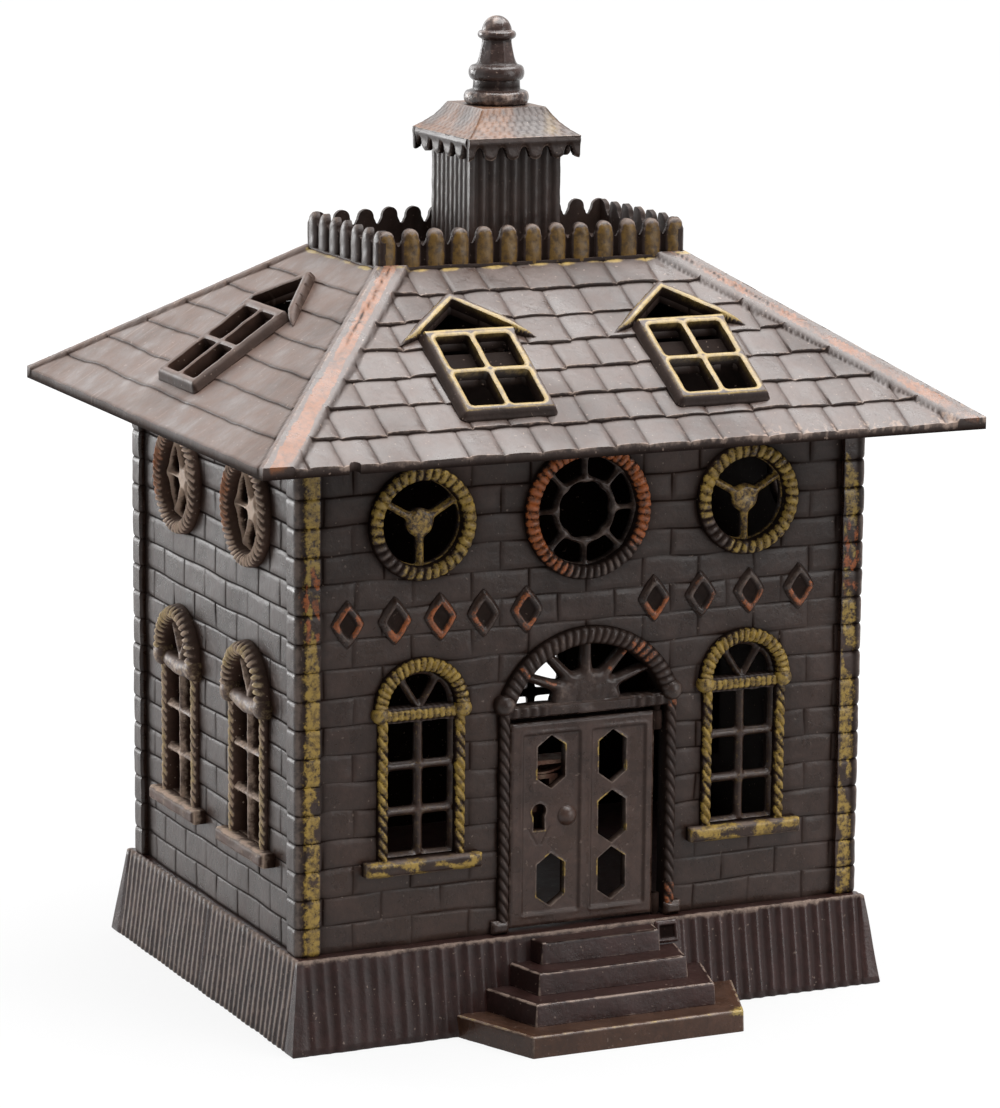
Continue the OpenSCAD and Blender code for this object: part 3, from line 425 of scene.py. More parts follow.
def knob(x, z, radius, height, **paint):
    """Low round knob: radius (1 - t^2.4)^(1/2.4) over the height t."""
    t = np.linspace(0, 1, 9)
    r = np.concatenate([[radius * 0.96], radius * (1 - t ** 2.4) ** (1 / 2.4) + 0.02])
    h = np.concatenate([[-0.6], 0.1 + (height - 0.1) * t])

    def marks(shape):
        return mark(shape, wear=0.45 * np.linspace(0, 1, len(r))[:, None] + np.zeros(shape),
                    soot=np.linspace(0.9, 0, len(r))[:, None] + np.zeros(shape), **paint)
    return turned(r, h, (x, z), marks, 24)


def front_window(sizes, x, gold, seed, sash):
    """Arched window of the front: reeded arch on small knobs, roped jambs and a beaded transom."""
    r = WINDOW_R
    line = arc(r + 1.45, (x, SPRING_Z), 2, 178, in_mm(sizes.reed) * 0.87)
    left = gold * (0.55 + 0.45 * patchy(line, 9, seed, -0.9, 0.1))
    parts = [moulding(line, 3.0, 1.9, -WALL_T, 0.2, 0.4, 0.7, gold=left)]
    for side in (-1, 1):
        line = straight(x + side * (r + 0.95), SILL_Z - 0.4, SPRING_Z - 1.2, side, in_mm(sizes.rope))
        left = gold * (0.45 + 0.55 * patchy(line, 8, seed + side, -0.6, 0.3))
        parts.append(moulding(line, 2.3, 1.4, -WALL_T, 0.6 * side, 0.5, 0.35, gold=left))
        parts.append(knob(x + side * (r + 1.5), SPRING_Z - 0.7, 1.9, 2.1, gold=0.6 * gold))
    low = SPRING_Z - TRANSOM
    u, v = grid(x - r - 0.6, x + r + 0.6, low - 0.5, SPRING_Z + 0.3, 0.3, 0.25)
    bead = 0.5 + 0.5 * np.cos(2 * np.pi * (u - x) / 1.3)
    band = step(v, low, low + 0.7) * step(SPRING_Z - v, -0.1, 0.5)
    keep = np.minimum(v - low + 0.2 + 0.12 * ripple(u, v * 0, 4, seed), SPRING_Z + 0.2 - v)
    marks = mark(u.shape, gold=gold * 0.85 * band * (1 - 0.6 * bead), wear=0.4 * band, soot=0.6 * bead)
    parts.append(slab(u, v, 0.1 + 0.85 * band - 0.3 * bead * band, keep, marks, -WALL_T))
    return parts + [glazing(x, r, gold * 0.2, 0.85, sash), sill(x, r, gold * (0.6 if x < 0 else 0.9), seed)]


def side_window(sizes, x, gold, seed, sash):
    """Arched window of the sides: a high reeded hood that runs out in big knobs, over a thick swag."""
    r = WINDOW_R
    line = arc(r + 1.6, (x, SPRING_Z), -2, 182, in_mm(sizes.reed) * 1.05)
    left = gold * (0.6 + 0.4 * patchy(line, 9, seed, -0.8, 0.2))
    parts = [moulding(line, 3.4, 3.0, -WALL_T, 0.3, 0.36, 0.5, 0.6, 1.2, 0.55, gold=left)]
    for side in (-1, 1):
        line = straight(x + side * (r + 0.9), SILL_Z - 0.4, SPRING_Z - 1.5, side, in_mm(sizes.rope) * 0.85)
        left = gold * (0.7 + 0.3 * patchy(line, 8, seed + side, -0.6, 0.3))
        parts.append(moulding(line, 2.1, 1.5, -WALL_T, 0.75 * side, 0.5, 0.35, 0.5, 1.6, 0.4, gold=left))
        parts.append(knob(x + side * (r + 1.4), SPRING_Z - 1.3, 2.6, 3.0, gold=0.5 * gold))
    u, v = grid(x - r - 1.2, x + r + 1.2, SPRING_Z - 5.4, SPRING_Z + 0.4, 0.3)
    hang = 1.5 * np.cos(np.clip((u - x) / (r + 1), -1, 1) * np.pi / 2)
    t = (v - SPRING_Z + 3.0 + hang) / (3.0 + 0.5 * hang)
    w = 0.2 + 1.7 * np.sqrt(np.clip(1 - (2 * t - 1) ** 2, 0, 1)) + 0.15 * ripple(u, v, 4, seed)
    marks = mark(u.shape, gold=0.5 * gold * step(w, 0.8, 1.8), wear=0.5 * step(w, 0.7, 1.7),
                 soot=0.8 - 0.8 * step(w, 0.2, 1.1))
    parts.append(slab(u, v, w, np.minimum(t, 1 - t) * 3, marks, -WALL_T))
    return parts + [glazing(x, r, gold * 0.3, 0.7, sash, 0.6), sill(x, r, gold * 0.5, seed)]


def glazing(x, r, gold, half, sash, wear=0.2):
    """Centre bar, two cross bars, two bars that part in the arch, and a narrow frame round them; sash is
    the width of the frame, the height of the bars' backs and that of their edges."""
    u, v = grid(x - r - 0.3, x + r + 0.3, SILL_Z - 0.3, SPRING_Z + r + 0.3, 0.3)
    third = (SPRING_Z - TRANSOM - SILL_Z) / 3
    bars = [inside_bar(u, v, x, SILL_Z - 1, x, SPRING_Z - 1, half)]
    bars += [inside_bar(u, v, x - r - 1, z, x + r + 1, z, half) for z in (SILL_Z + third, SILL_Z + 2 * third)]
    bars += [inside_bar(u, v, x, SPRING_Z - 0.5, x + 9 * math.cos(a), SPRING_Z - 0.5 + 9 * math.sin(a), 0.7)
             for a in np.radians((58, 122))]
    rim = outside_arch(u, v, x, r + 0.3, SILL_Z - 0.3)
    bars.append(rim + sash[0])
    inside = np.minimum(merged(bars, 0.35), -rim)
    return grille(u, v, inside, inside / half, sash[2], sash[2] + 1.0, sash[1], gold=gold, wear=wear)


def sill(x, r, gold, seed):
    """Window sill: a bar with a round top edge."""
    u, v = np.meshgrid(lines(x - r - 5.4, x + r + 5.4, 0.45, (x - r - 5.2, x + r + 5.2)),
                       lines(SILL_Z - 3.05, SILL_Z + 0.05, 0.28))
    edge = np.minimum(r + 5.25 - np.abs(u - x), np.minimum(SILL_Z - v, v - SILL_Z + 3.0))
    w = 3.1 - 0.8 * (1 - step(edge, -0.05, 0.8)) ** 2 + 0.1 * ripple(u, v, 4, seed + 3)
    left = gold * (0.22 + 0.68 * step(ripple(u, v * 2, 7, seed + 1), -0.5, 0.5))
    marks = mark(u.shape, gold=left, wear=0.9 * (1 - step(edge, 0.1, 0.6)), soot=0.25)
    return slab(u, v, w, edge, marks, -0.5)


def ring(x, radius, width, height, pitch, twist, **paint):
    """Reeded ring round a round opening."""
    line = arc(radius + width / 2, (x, OCULUS_Z), 0, 360, pitch)
    around = np.degrees(np.arctan2(line[1][:, 1], line[1][:, 0]))
    left = {key: np.reshape(amount(around), (-1, 1)) for key, amount in paint.items()}
    return moulding(line, width, height, -WALL_T, twist, 0.42, 0.75, **left)


def spokes(x, radius, angles, half, hub, fillet, inner=0.0, **paint):
    """Spokes of a round window, with fillets at the rim and at the hub or the ring in its place."""
    u, v = grid(x - radius - 0.4, x + radius + 0.4, OCULUS_Z - radius - 0.4, OCULUS_Z + radius + 0.4, 0.27)
    away = np.hypot(u - x, v - OCULUS_Z)
    parts = [inside_bar(u, v, x + inner * math.cos(a), OCULUS_Z + inner * math.sin(a),
                        x + (radius + 1) * math.cos(a), OCULUS_Z + (radius + 1) * math.sin(a), half)
             for a in np.radians(angles)]
    parts += [away - radius + 0.1, half - np.abs(away - inner) if inner else hub - away]
    inside = merged(parts, fillet)
    keep = np.minimum(inside, radius + 0.35 - away)
    return grille(u, v, keep, inside / max(half, 0.5), -0.9, -0.1, -2.2, **paint)


def add(tree, kind, inputs=None, output=0, **settings):
    """Adds one node with its settings and with what feeds its sockets, and gives back one of its outputs.
    Sockets go by name or number: Map Range takes a value, the ends it comes from and the ends it goes to as
    0 to 4, and Mix takes its factor and its two colours as 0, 6 and 7."""
    node = tree.nodes.new("ShaderNode" + kind)
    for key, value in settings.items():
        setattr(node, key, value)
    for key, value in (inputs or {}).items():
        if isinstance(value, bpy.types.NodeSocket):
            tree.links.new(value, node.inputs[key])
        else:
            node.inputs[key].default_value = value
    return node.outputs[output] if node.outputs else None


def new_material(name):
    """An empty material and its node tree."""
    material = bpy.data.materials.new(name)
    material.use_nodes = True
    material.node_tree.nodes.clear()
    return material, material.node_tree


# Spacing of the patterns in the japan, in millimetres: clouds and blotches of the brush, specks where the
# varnish is thin, single flecks, scratches, and the grain of the moulding sand, which is really about 0.2
# and is drawn coarser so that it shows
CLOUD, BLOTCH, SPECK, FLECK, SCRATCH, SAND = 24.0, 5.5, 1.3, 0.8, 1.1, 0.5
# Spacing of the patches of rust on the sheet steel and of its grain, in millimetres
RUST_PATCH, STEEL_GRAIN = 2.2, 0.5


def japanned_iron(context, name, tone=(1, 1, 1), pale=1.0, gold=(1, 1, 1), copper=(1, 1, 1), dust=0.2,
                  gloss=1.0, scratches=0.0, speckle=2.0, grit=1.0, soft=False):
    """Grey iron cast in green sand and japanned: a baked brown-black asphalt varnish that pools in the
    hollows and has rubbed thin on the edges, with bronze powder in varnish on the ornament. The sand's
    grain gives the bump. tone, pale, gold and copper multiply the panel's colours, and soft lets the bronze
    fade like a stain."""
    shades = context.scene.bank_colours
    mat, tree = new_material(name)
    by = {"lacquer": tone, "warm": tone, "thin": tone, "pooled_and_shade": 1.0, "bare": pale, "dust": pale,
          "gold": gold, "dull_gold": gold, "copper": copper, "dull_copper": copper}
    c = {key: (*np.clip(np.array(getattr(shades, key)[:3]) * value, 0, 1), 1) for key, value in by.items()}
    place = add(tree, "TexCoord", output="Object")
    cloud = add(tree, "TexNoise", {"Vector": place, "Scale": 1 / (CLOUD * MM), "Detail": 3.0})
    blotch = add(tree, "TexNoise", {"Vector": place, "Scale": 1 / (BLOTCH * MM), "Detail": 5.0,
                                    "Roughness": 0.6})
    speck = add(tree, "TexNoise", {"Vector": place, "Scale": 1 / (SPECK * MM), "Detail": 4.0,
                                   "Roughness": 0.65})
    sand = add(tree, "TexNoise", {"Vector": place, "Scale": 1 / (SAND * MM), "Detail": 2.0, "Roughness": 0.6})

    # varnish: thick and dark, thin and warm, in clouds and blotches, with a fine grain
    warm = add(tree, "MapRange", {0: cloud, 1: 0.38, 2: 0.62})
    colour = add(tree, "Mix", {0: warm, 6: c["lacquer"], 7: c["warm"]}, 2, data_type="RGBA")
    thin = add(tree, "MapRange", {0: blotch, 1: 0.42, 2: 0.72, 4: 0.7})
    colour = add(tree, "Mix", {0: thin, 6: colour, 7: c["thin"]}, 2, data_type="RGBA")
    grain = add(tree, "MapRange", {0: speck, 1: 0.28, 2: 0.72, 3: 0.76, 4: 1.24})
    colour = add(tree, "VectorMath", {0: colour, 1: grain}, operation="MULTIPLY")

    # dust on what faces up
    normal = add(tree, "NewGeometry", output="Normal")
    up = add(tree, "SeparateXYZ", {0: normal}, "Z")
    up = add(tree, "MapRange", {0: up, 1: 0.1, 2: 0.9, 4: dust})
    lying = add(tree, "MapRange", {0: blotch, 1: 0.3, 2: 0.65, 3: 0.35})
    lying = add(tree, "Math", {0: up, 1: lying}, operation="MULTIPLY")
    colour = add(tree, "Mix", {0: lying, 6: colour, 7: c["dust"]}, 2, data_type="RGBA")

    # scratches down the slope, drawn out of a noise stretched along it
    if scratches:
        drawn = add(tree, "Mapping", {0: place, 3: (0.06, 1.0, 0.06)})
        drawn = add(tree, "TexNoise", {"Vector": drawn, "Scale": 1 / (SCRATCH * MM), "Detail": 2.0})
        drawn = add(tree, "MapRange", {0: drawn, 1: 0.64, 2: 0.76, 4: scratches})
        colour = add(tree, "Mix", {0: drawn, 6: colour, 7: c["bare"]}, 2, data_type="RGBA")

    # dirt and varnish that pools in the hollows, and painted shade on the backs, the insides and the shaded
    # places marked for it
    soot = add(tree, "Attribute", output="Fac", attribute_name="soot")
    soot = add(tree, "Math", {0: soot, 1: 0.85}, operation="MULTIPLY")
    colour = add(tree, "Mix", {0: soot, 6: colour, 7: c["pooled_and_shade"]}, 2, data_type="RGBA")

    # rubbed edges and single flecks, down to the iron
    uneven = add(tree, "Math", {0: blotch, 1: speck}, operation="ADD")
    uneven = add(tree, "Math", {0: uneven, 1: 1.0}, operation="SUBTRACT")
    rubbed = add(tree, "Attribute", output="Fac", attribute_name="wear")
    rubbed = add(tree, "Math", {0: rubbed, 1: shades.wear, 2: uneven}, operation="MULTIPLY_ADD")
    rubbed = add(tree, "MapRange", {0: rubbed, 1: 0.34, 2: 0.95, 4: 0.85},
                 interpolation_type="SMOOTHSTEP")
    colour = add(tree, "Mix", {0: rubbed, 6: colour, 7: c["bare"]}, 2, data_type="RGBA")
    flecks = add(tree, "TexNoise", {"Vector": place, "Scale": 1 / (FLECK * MM), "Detail": 1.0})
    flecks = add(tree, "MapRange", {0: flecks, 1: 0.72, 2: 0.77, 4: 0.5})
    colour = add(tree, "Mix", {0: flecks, 6: colour, 7: c["bare"]}, 2, data_type="RGBA")

    # bronze powder: reddish copper and greenish gold, worn off in fine specks
    fine = add(tree, "Math", {0: speck, 1: sand}, operation="ADD")
    fine = add(tree, "Math", {0: fine, 1: speckle, 2: 1 - speckle}, operation="MULTIPLY_ADD")
    for key in ("copper", "gold"):
        left = add(tree, "Attribute", output="Fac", attribute_name=key)
        left = add(tree, "Math", {0: left, 1: fine}, operation="MULTIPLY")
        left = add(tree, "MapRange", {0: left, 1: 0.0 if soft else 0.2, 2: 1.0 if soft else 0.55,
                                      4: 0.92}, interpolation_type="SMOOTHSTEP")
        bright = add(tree, "MapRange", {0: speck, 1: 0.36 if speckle > 1 else 0.2, 2: 0.58})
        bright = add(tree, "Mix", {0: bright, 6: c["dull_" + key], 7: c[key]}, 2, data_type="RGBA")
        colour = add(tree, "Mix", {0: left, 6: colour, 7: bright}, 2, data_type="RGBA")

    rough = shades.roughness * gloss
    dull = add(tree, "MapRange", {0: blotch, 1: 0.3, 2: 0.7, 3: rough - 0.05, 4: rough + 0.08})
    dull = add(tree, "Math", {0: lying, 1: 0.5, 2: dull}, operation="MULTIPLY_ADD")
    dull = add(tree, "Math", {0: soot, 1: 0.5, 2: dull}, operation="MULTIPLY_ADD")
    dull = add(tree, "Math", {0: rubbed, 1: 0.22, 2: dull}, operation="MULTIPLY_ADD")
    gleam = add(tree, "MapRange", {0: soot, 1: 0.05, 2: 0.7, 3: 0.5, 4: 0.04})
    height = add(tree, "Math", {0: blotch, 1: 1.2, 2: speck}, operation="MULTIPLY_ADD")
    height = add(tree, "Math", {0: sand, 1: 0.22, 2: height}, operation="MULTIPLY_ADD")
    bump = add(tree, "Bump", {"Strength": 0.6, "Distance": 0.12 * grit * MM, "Height": height})
    shader = add(tree, "BsdfPrincipled", {"Base Color": colour, "Roughness": dull, "Normal": bump,
                                          "Specular IOR Level": gleam})
    add(tree, "OutputMaterial", {"Surface": shader})
    return mat


# How the japan differs from casting to casting
FINISHES = {
    "wall": {},
    # the left face's trim only: a much lighter copy of the japan as painted light on the lit side, its
    # near-white rubbed iron as painted highlights
    "side_trim": dict(tone=(2.6, 2.65, 2.6), pale=(3.9, 4.0, 3.8), gold=(1.9, 2.2, 5.0),
                      copper=(1.3, 1.8, 2.8), dust=0.3, gloss=1.6, speckle=1.0),
    "base": dict(tone=(0.88, 0.62, 0.74), pale=1.5, dust=0.06, gloss=0.85),
    "step_slab": dict(tone=(1.6, 1.35, 1.0), pale=1.3, gold=(1.1, 1.2, 1.6), dust=0.1, gloss=0.9),
    "roof": dict(tone=(1.36, 1.7, 2.05), pale=1.7, gold=(0.9, 0.95, 1.45), copper=(0.53, 0.68, 0.88),
                 dust=0.28, gloss=0.78, speckle=0.6),
    "side_roof": dict(tone=(1.7, 1.75, 1.7), pale=1.8, gold=(1.0, 1.1, 1.5), copper=(0.62, 0.85, 1.5),
                      dust=0.4, gloss=1.25, scratches=0.32, speckle=1.0),
    "cupola": dict(tone=(1.0, 1.1, 1.2), pale=1.5, gold=(0.62, 0.62, 1.0), copper=(0.52, 0.82, 1.35),
                   dust=0.28, speckle=0.6, grit=1.4, soft=True),
    "tower": dict(tone=(0.88, 0.93, 1.0), pale=0.85, gold=(0.35, 0.28, 0.14), dust=0.1, gloss=1.35,
                  speckle=1.4),
    # pale is high so that the rubbed beads and the dome's top show as painted highlights
    "finial": dict(tone=(1.05, 1.25, 1.6), pale=2.3, dust=0.05, gloss=0.4, grit=2.1),
    "door": dict(tone=(1.4, 1.5, 1.6), pale=1.2, dust=0.1),
}


def finish(context, name):
    """The japan of one casting, made once."""
    made = bpy.data.materials.get("japanned_iron_" + name)
    return made or japanned_iron(context, "japanned_iron_" + name, **FINISHES[name])


# Half the floor's length in metres, and how far a reflected ray has to point to the front (-y) to meet the
# darkest part of the room
FLOOR_HALF, ROOM_FRONT = 3.0, -0.6
# Lamps of the stage: place, size in metres and power in watts, and the place that they all point at
LAMPS_POINT_AT = (0, 0, 0.1)
LAMPS = {
    "overhead": ((0.22, -0.1, 1.0), 1.1, 26),
    "rear": ((-0.35, 1.25, 0.75), 0.9, 6),
    "left": ((-0.85, 1.2, 0.22), 0.6, 12),
    "fill": ((0.75, -1.0, 0.3), 0.7, 4),
}
# Camera: focal length, size and optical axis of the picture in its pixels, then its place in the room
FOCAL, IMAGE_W, IMAGE_H, AXIS_X, AXIS_Y = 4620.0, 1000, 1108, 558.5, 600.0
CAMERA_AT, YAW, PITCH, ROLL = (-0.4068, -0.8764, 0.2799), 25.74, 11.75, 0.65


def seen_plainly(tree):
    """1 on the rays of the camera and those that gloss and glass send on, then 1 on those of gloss."""
    glossy = add(tree, "LightPath", output="Is Glossy Ray")
    path = glossy.node.outputs
    seen = add(tree, "Math", {0: path["Is Camera Ray"], 1: glossy}, operation="MAXIMUM")
    return add(tree, "Math", {0: seen, 1: path["Is Transmission Ray"]}, operation="MAXIMUM"), glossy


class BANK_OT_stage(Operator):
    """Pale floor, soft lamps and the camera"""
    bl_idname = "bank.stage"
    bl_label = "Stage"

    def execute(self, context):
        scene = context.scene
        mesh = bpy.data.meshes.new("floor")
        corners = [(x * FLOOR_HALF, y * FLOOR_HALF, 0) for x, y in ((-1, -1), (1, -1), (1, 1), (-1, 1))]
        mesh.from_pydata(corners, [], [(0, 1, 2, 3)])
        floor = bpy.data.objects.new("floor", mesh)
        scene.collection.objects.link(floor)
        # white card: burnt out to the camera and in reflections, but with a painted shade round the bank that
        # fades out from 0.06 to 0.3 m, painted darker in reflections in front of the bank and close to it,
        # and grey as a source of light
        mat, tree = new_material("white_card")
        seen, glossy = seen_plainly(tree)
        place = add(tree, "TexCoord", output="Object")
        away = add(tree, "VectorMath", {0: place}, "Value", operation="LENGTH")
        glow = add(tree, "MapRange", {0: away, 1: 0.06, 2: 0.3, 3: 0.88, 4: 1.0})
        front = add(tree, "SeparateXYZ", {0: place}, "Y")
        front = add(tree, "MapRange", {0: front, 1: -0.3, 2: 0.1, 3: 0.7, 4: 0.0})
        # painted shade of the floor in reflections close to the bank
        close = add(tree, "MapRange", {0: away, 1: 0.06, 2: 0.4, 3: 0.15, 4: 0.0})
        front = add(tree, "Math", {0: front, 1: close}, operation="MAXIMUM")
        front = add(tree, "Math", {0: front, 1: glossy}, operation="MULTIPLY")
        glow = add(tree, "Math", {0: glow, 1: front}, operation="SUBTRACT")
        grey = add(tree, "BsdfDiffuse", {"Color": (0.3, 0.3, 0.3, 1)})
        card = add(tree, "BsdfDiffuse", {"Color": (0.07, 0.07, 0.07, 1)})
        glow = add(tree, "Emission", {"Strength": glow})
        white = add(tree, "AddShader", {0: card, 1: glow})
        both = add(tree, "MixShader", {0: seen, 1: grey, 2: white})
        add(tree, "OutputMaterial", {"Surface": both})
        mesh.materials.append(mat)

        # room: white to the camera and in reflections, dark in those of what stands in front of the bank,
        # and dim as a source of light
        world = bpy.data.worlds.new("studio")
        scene.world = world
        world.use_nodes = True
        tree = world.node_tree
        tree.nodes.clear()
        seen, glossy = seen_plainly(tree)
        front = add(tree, "SeparateXYZ", {0: add(tree, "TexCoord", output="Generated")}, "Y")
        front = add(tree, "MapRange", {0: front, 1: ROOM_FRONT, 2: 0.1, 3: 0.75, 4: 0.0})
        front = add(tree, "Math", {0: front, 1: glossy}, operation="MULTIPLY")
        glow = add(tree, "Math", {0: 1.0, 1: front}, operation="SUBTRACT")
        dim = add(tree, "Background", {"Color": (0.95, 0.97, 1.0, 1), "Strength": 0.2})
        white = add(tree, "Background", {"Color": (1, 1, 1, 1), "Strength": glow})
        both = add(tree, "MixShader", {0: seen, 1: dim, 2: white})
        add(tree, "OutputWorld", {"Surface": both})

        for name, (at, size, power) in LAMPS.items():
            lamp = bpy.data.lights.new(name, "AREA")
            lamp.shape, lamp.size, lamp.energy = "SQUARE", size, power
            obj = bpy.data.objects.new(name, lamp)
            scene.collection.objects.link(obj)
            obj.location = at
            obj.rotation_euler = (Vector(LAMPS_POINT_AT) - Vector(at)).to_track_quat("-Z", "Y").to_euler()

        # a long lens from the front left, a little above the roof
        camera = bpy.data.cameras.new("camera")
        camera.sensor_width = 36
        camera.lens = FOCAL / IMAGE_H * camera.sensor_width
        camera.clip_end = 10
        camera.shift_x, camera.shift_y = (IMAGE_W / 2 - AXIS_X) / IMAGE_H, (AXIS_Y - IMAGE_H / 2) / IMAGE_H
        obj = bpy.data.objects.new("camera", camera)
        scene.collection.objects.link(obj)
        yaw, pitch, roll = map(math.radians, (YAW, PITCH, ROLL))
        look = Vector((math.sin(yaw) * math.cos(pitch), math.cos(yaw) * math.cos(pitch), -math.sin(pitch)))
        right = look.cross(Vector((0, 0, 1))).normalized()
        up = right.cross(look)
        right, up = right * math.cos(roll) + up * math.sin(roll), up * math.cos(roll) - right * math.sin(roll)
        obj.matrix_world = Matrix((right, up, -look)).transposed().to_4x4()
        obj.location = CAMERA_AT
        scene.camera = obj
        scene.view_settings.view_transform = "Standard"
        return {"FINISHED"}


def brickwork(face, half, brick, openings, joint_depth, tilt, stain, seed):
    """Wall of bricks in running bond: grooves exp(-(d / 0.2)^2) along the joints with dirt in them (stain),
    each brick a little tilted, and the joints bent by a slow ripple. openings(u, v) is the distance outside
    the holes."""
    joints = np.arange(-40, 41) * brick / 2
    courses = WALL_FOOT + COURSE * np.arange(COURSES + 1)
    p, q = np.meshgrid(lines(-half, half, 0.85, joints, (0.13, 0.32)),
                       lines(WALL_FOOT, WALL_TOP, 0.85, courses, (0.13, 0.32)))
    k = np.clip(np.floor((q - WALL_FOOT) / COURSE), 0, COURSES - 1).astype(int)
    column = p / brick + 0.5 * (k % 2)
    du = np.abs(column - np.round(column)) * brick
    up = (q - WALL_FOOT) / COURSE - k
    dv = np.minimum(up, 1 - up) * COURSE
    rng = np.random.default_rng(seed)
    cell = rng.uniform(-1, 1, (COURSES, 80, 3))[k, np.floor(column).astype(int) + 40]
    inside = column - np.floor(column) - 0.5
    # the joints fade in places; on the sides the long ones are sharp
    faint = 0.35 + 0.65 * step(ripple(p, q, 15, seed + 5), -0.8, 0.5)
    bed = np.maximum(0.4 + 0.6 * step(ripple(p, q, 19, seed + 8), -0.9, 0.5), face not in LONG_FACES)
    joint = np.maximum(bell(dv, 0.2) * bed, 0.75 * bell(du, 0.2) * faint)
    line = np.maximum(bell(dv, 0.26) * bed, bell(du, 0.3) * faint)
    pillow = np.exp(-np.minimum(du, dv) / 0.6)
    lean = cell[..., 1] * inside + 1.2 * cell[..., 2] * (up - 0.5)
    w = (0.05 * cell[..., 0] + tilt * lean - joint_depth * joint - 0.04 * pillow
         + 0.10 * ripple(p, q, 16, seed + 1) + 0.02 * ripple(p, q, 5, seed + 2))
    end = half - np.abs(p)
    border = step(np.minimum(end, np.minimum(q - WALL_FOOT, WALL_TOP - q)), 0, 3)
    u = p + 0.22 * border * ripple(p, q, 17, seed + 3)
    v = q + 0.20 * border * ripple(p, q, 19, seed + 4)
    # dirt near the corner columns, round the ornament and under the eaves
    # painted shade at the wall's ends beside the corner columns, darker round the openings, painted shade
    # under the eaves, and on the sides a band of painted shadow beside the rear corner column
    out = openings(u, v)
    dirt = 0.55 * bell(end, 2.2) + 0.3 * np.exp(-np.maximum(out - 2.5, 0) / 1.5)
    dirt += (0.3 if face in LONG_FACES else 0.12) * step(q, 84, 116)
    rear = half - p if face == "right" else half + p
    dirt += 0.5 * bell(rear - 1.5, 2.5) * (face not in LONG_FACES)
    marks = mark(u.shape, soot=stain * line + 0.08 * pillow + dirt,
                 wear=0.15 * pillow * (1 - joint) * (0.5 + ripple(p, q, 9, seed + 6)))
    return placed(slab(u, v, w, out, marks, -WALL_T), on_wall(face))


def outside_arch(u, v, x, r, foot):
    """Distance outside an upright opening with a round top at the windows' arch centre."""
    box = np.maximum(np.abs(u - x) - r, foot - v)
    return np.where(v > SPRING_Z, np.hypot(u - x, v - SPRING_Z) - r, box)


def outside_disc(u, v, x, z, r):
    """Distance outside a disc."""
    return np.hypot(u - x, v - z) - r


def holes(windows, oculi):
    """Distance outside the arched and round openings at these places."""
    def outside(u, v):
        d = [outside_arch(u, v, x, HOLE_R, SILL_Z - 0.1) for x in windows]
        d += [outside_disc(u, v, x, OCULUS_Z, ROUND_HOLE_R) for x in oculi]
        return np.min(d, 0)
    return outside


def front_holes(u, v):
    """Distance outside the front's openings."""
    door = np.maximum(np.abs(u - (DOOR_L + DOOR_R) / 2) - (DOOR_R - DOOR_L) / 2 - 0.05, v - DOOR_TOP - 1)
    fan = np.maximum(outside_disc(u, v, DOOR_X, FAN_Z, FAN_R + 1), DOOR_TOP - v)
    rose = outside_disc(u, v, 0, OCULUS_Z, ROSE_HOLE_R)
    return np.minimum.reduce([holes(FRONT_WINDOWS, FRONT_WINDOWS)(u, v), door, fan, rose])


class BANK_OT_brickwork(Operator):
    """Brick faces of the four walls"""
    bl_idname = "bank.brickwork"
    bl_label = "Brickwork"

    def execute(self, context):
        sizes = context.scene.bank_sizes
        wide, deep = BODY_X - QUOIN + 0.6, BODY_Y - QUOIN - 0.15
        front, side, joint = in_mm(sizes.front_brick), in_mm(sizes.side_brick), in_mm(sizes.joint)
        side_holes = holes(SIDE_WINDOWS, SIDE_WINDOWS)
        walls = {"front": (wide, front, front_holes, 0.6 * joint, 0.05, 0.5),
                 "rear": (wide, front, holes(REAR_WINDOWS, REAR_OCULI), 0.6 * joint, 0.05, 0.5),
                 "left": (deep, side, side_holes, 0.4 * joint, 0.07, 0.95),
                 "right": (deep, side, side_holes, 0.4 * joint, 0.07, 0.95)}
        for face, shape in walls.items():
            wall = brickwork(face, *shape, sizes.seed + len(face))
            casting(face + "_brickwork", [wall], finish(context, "wall"), face + "_wall", 50)
        return {"FINISHED"}


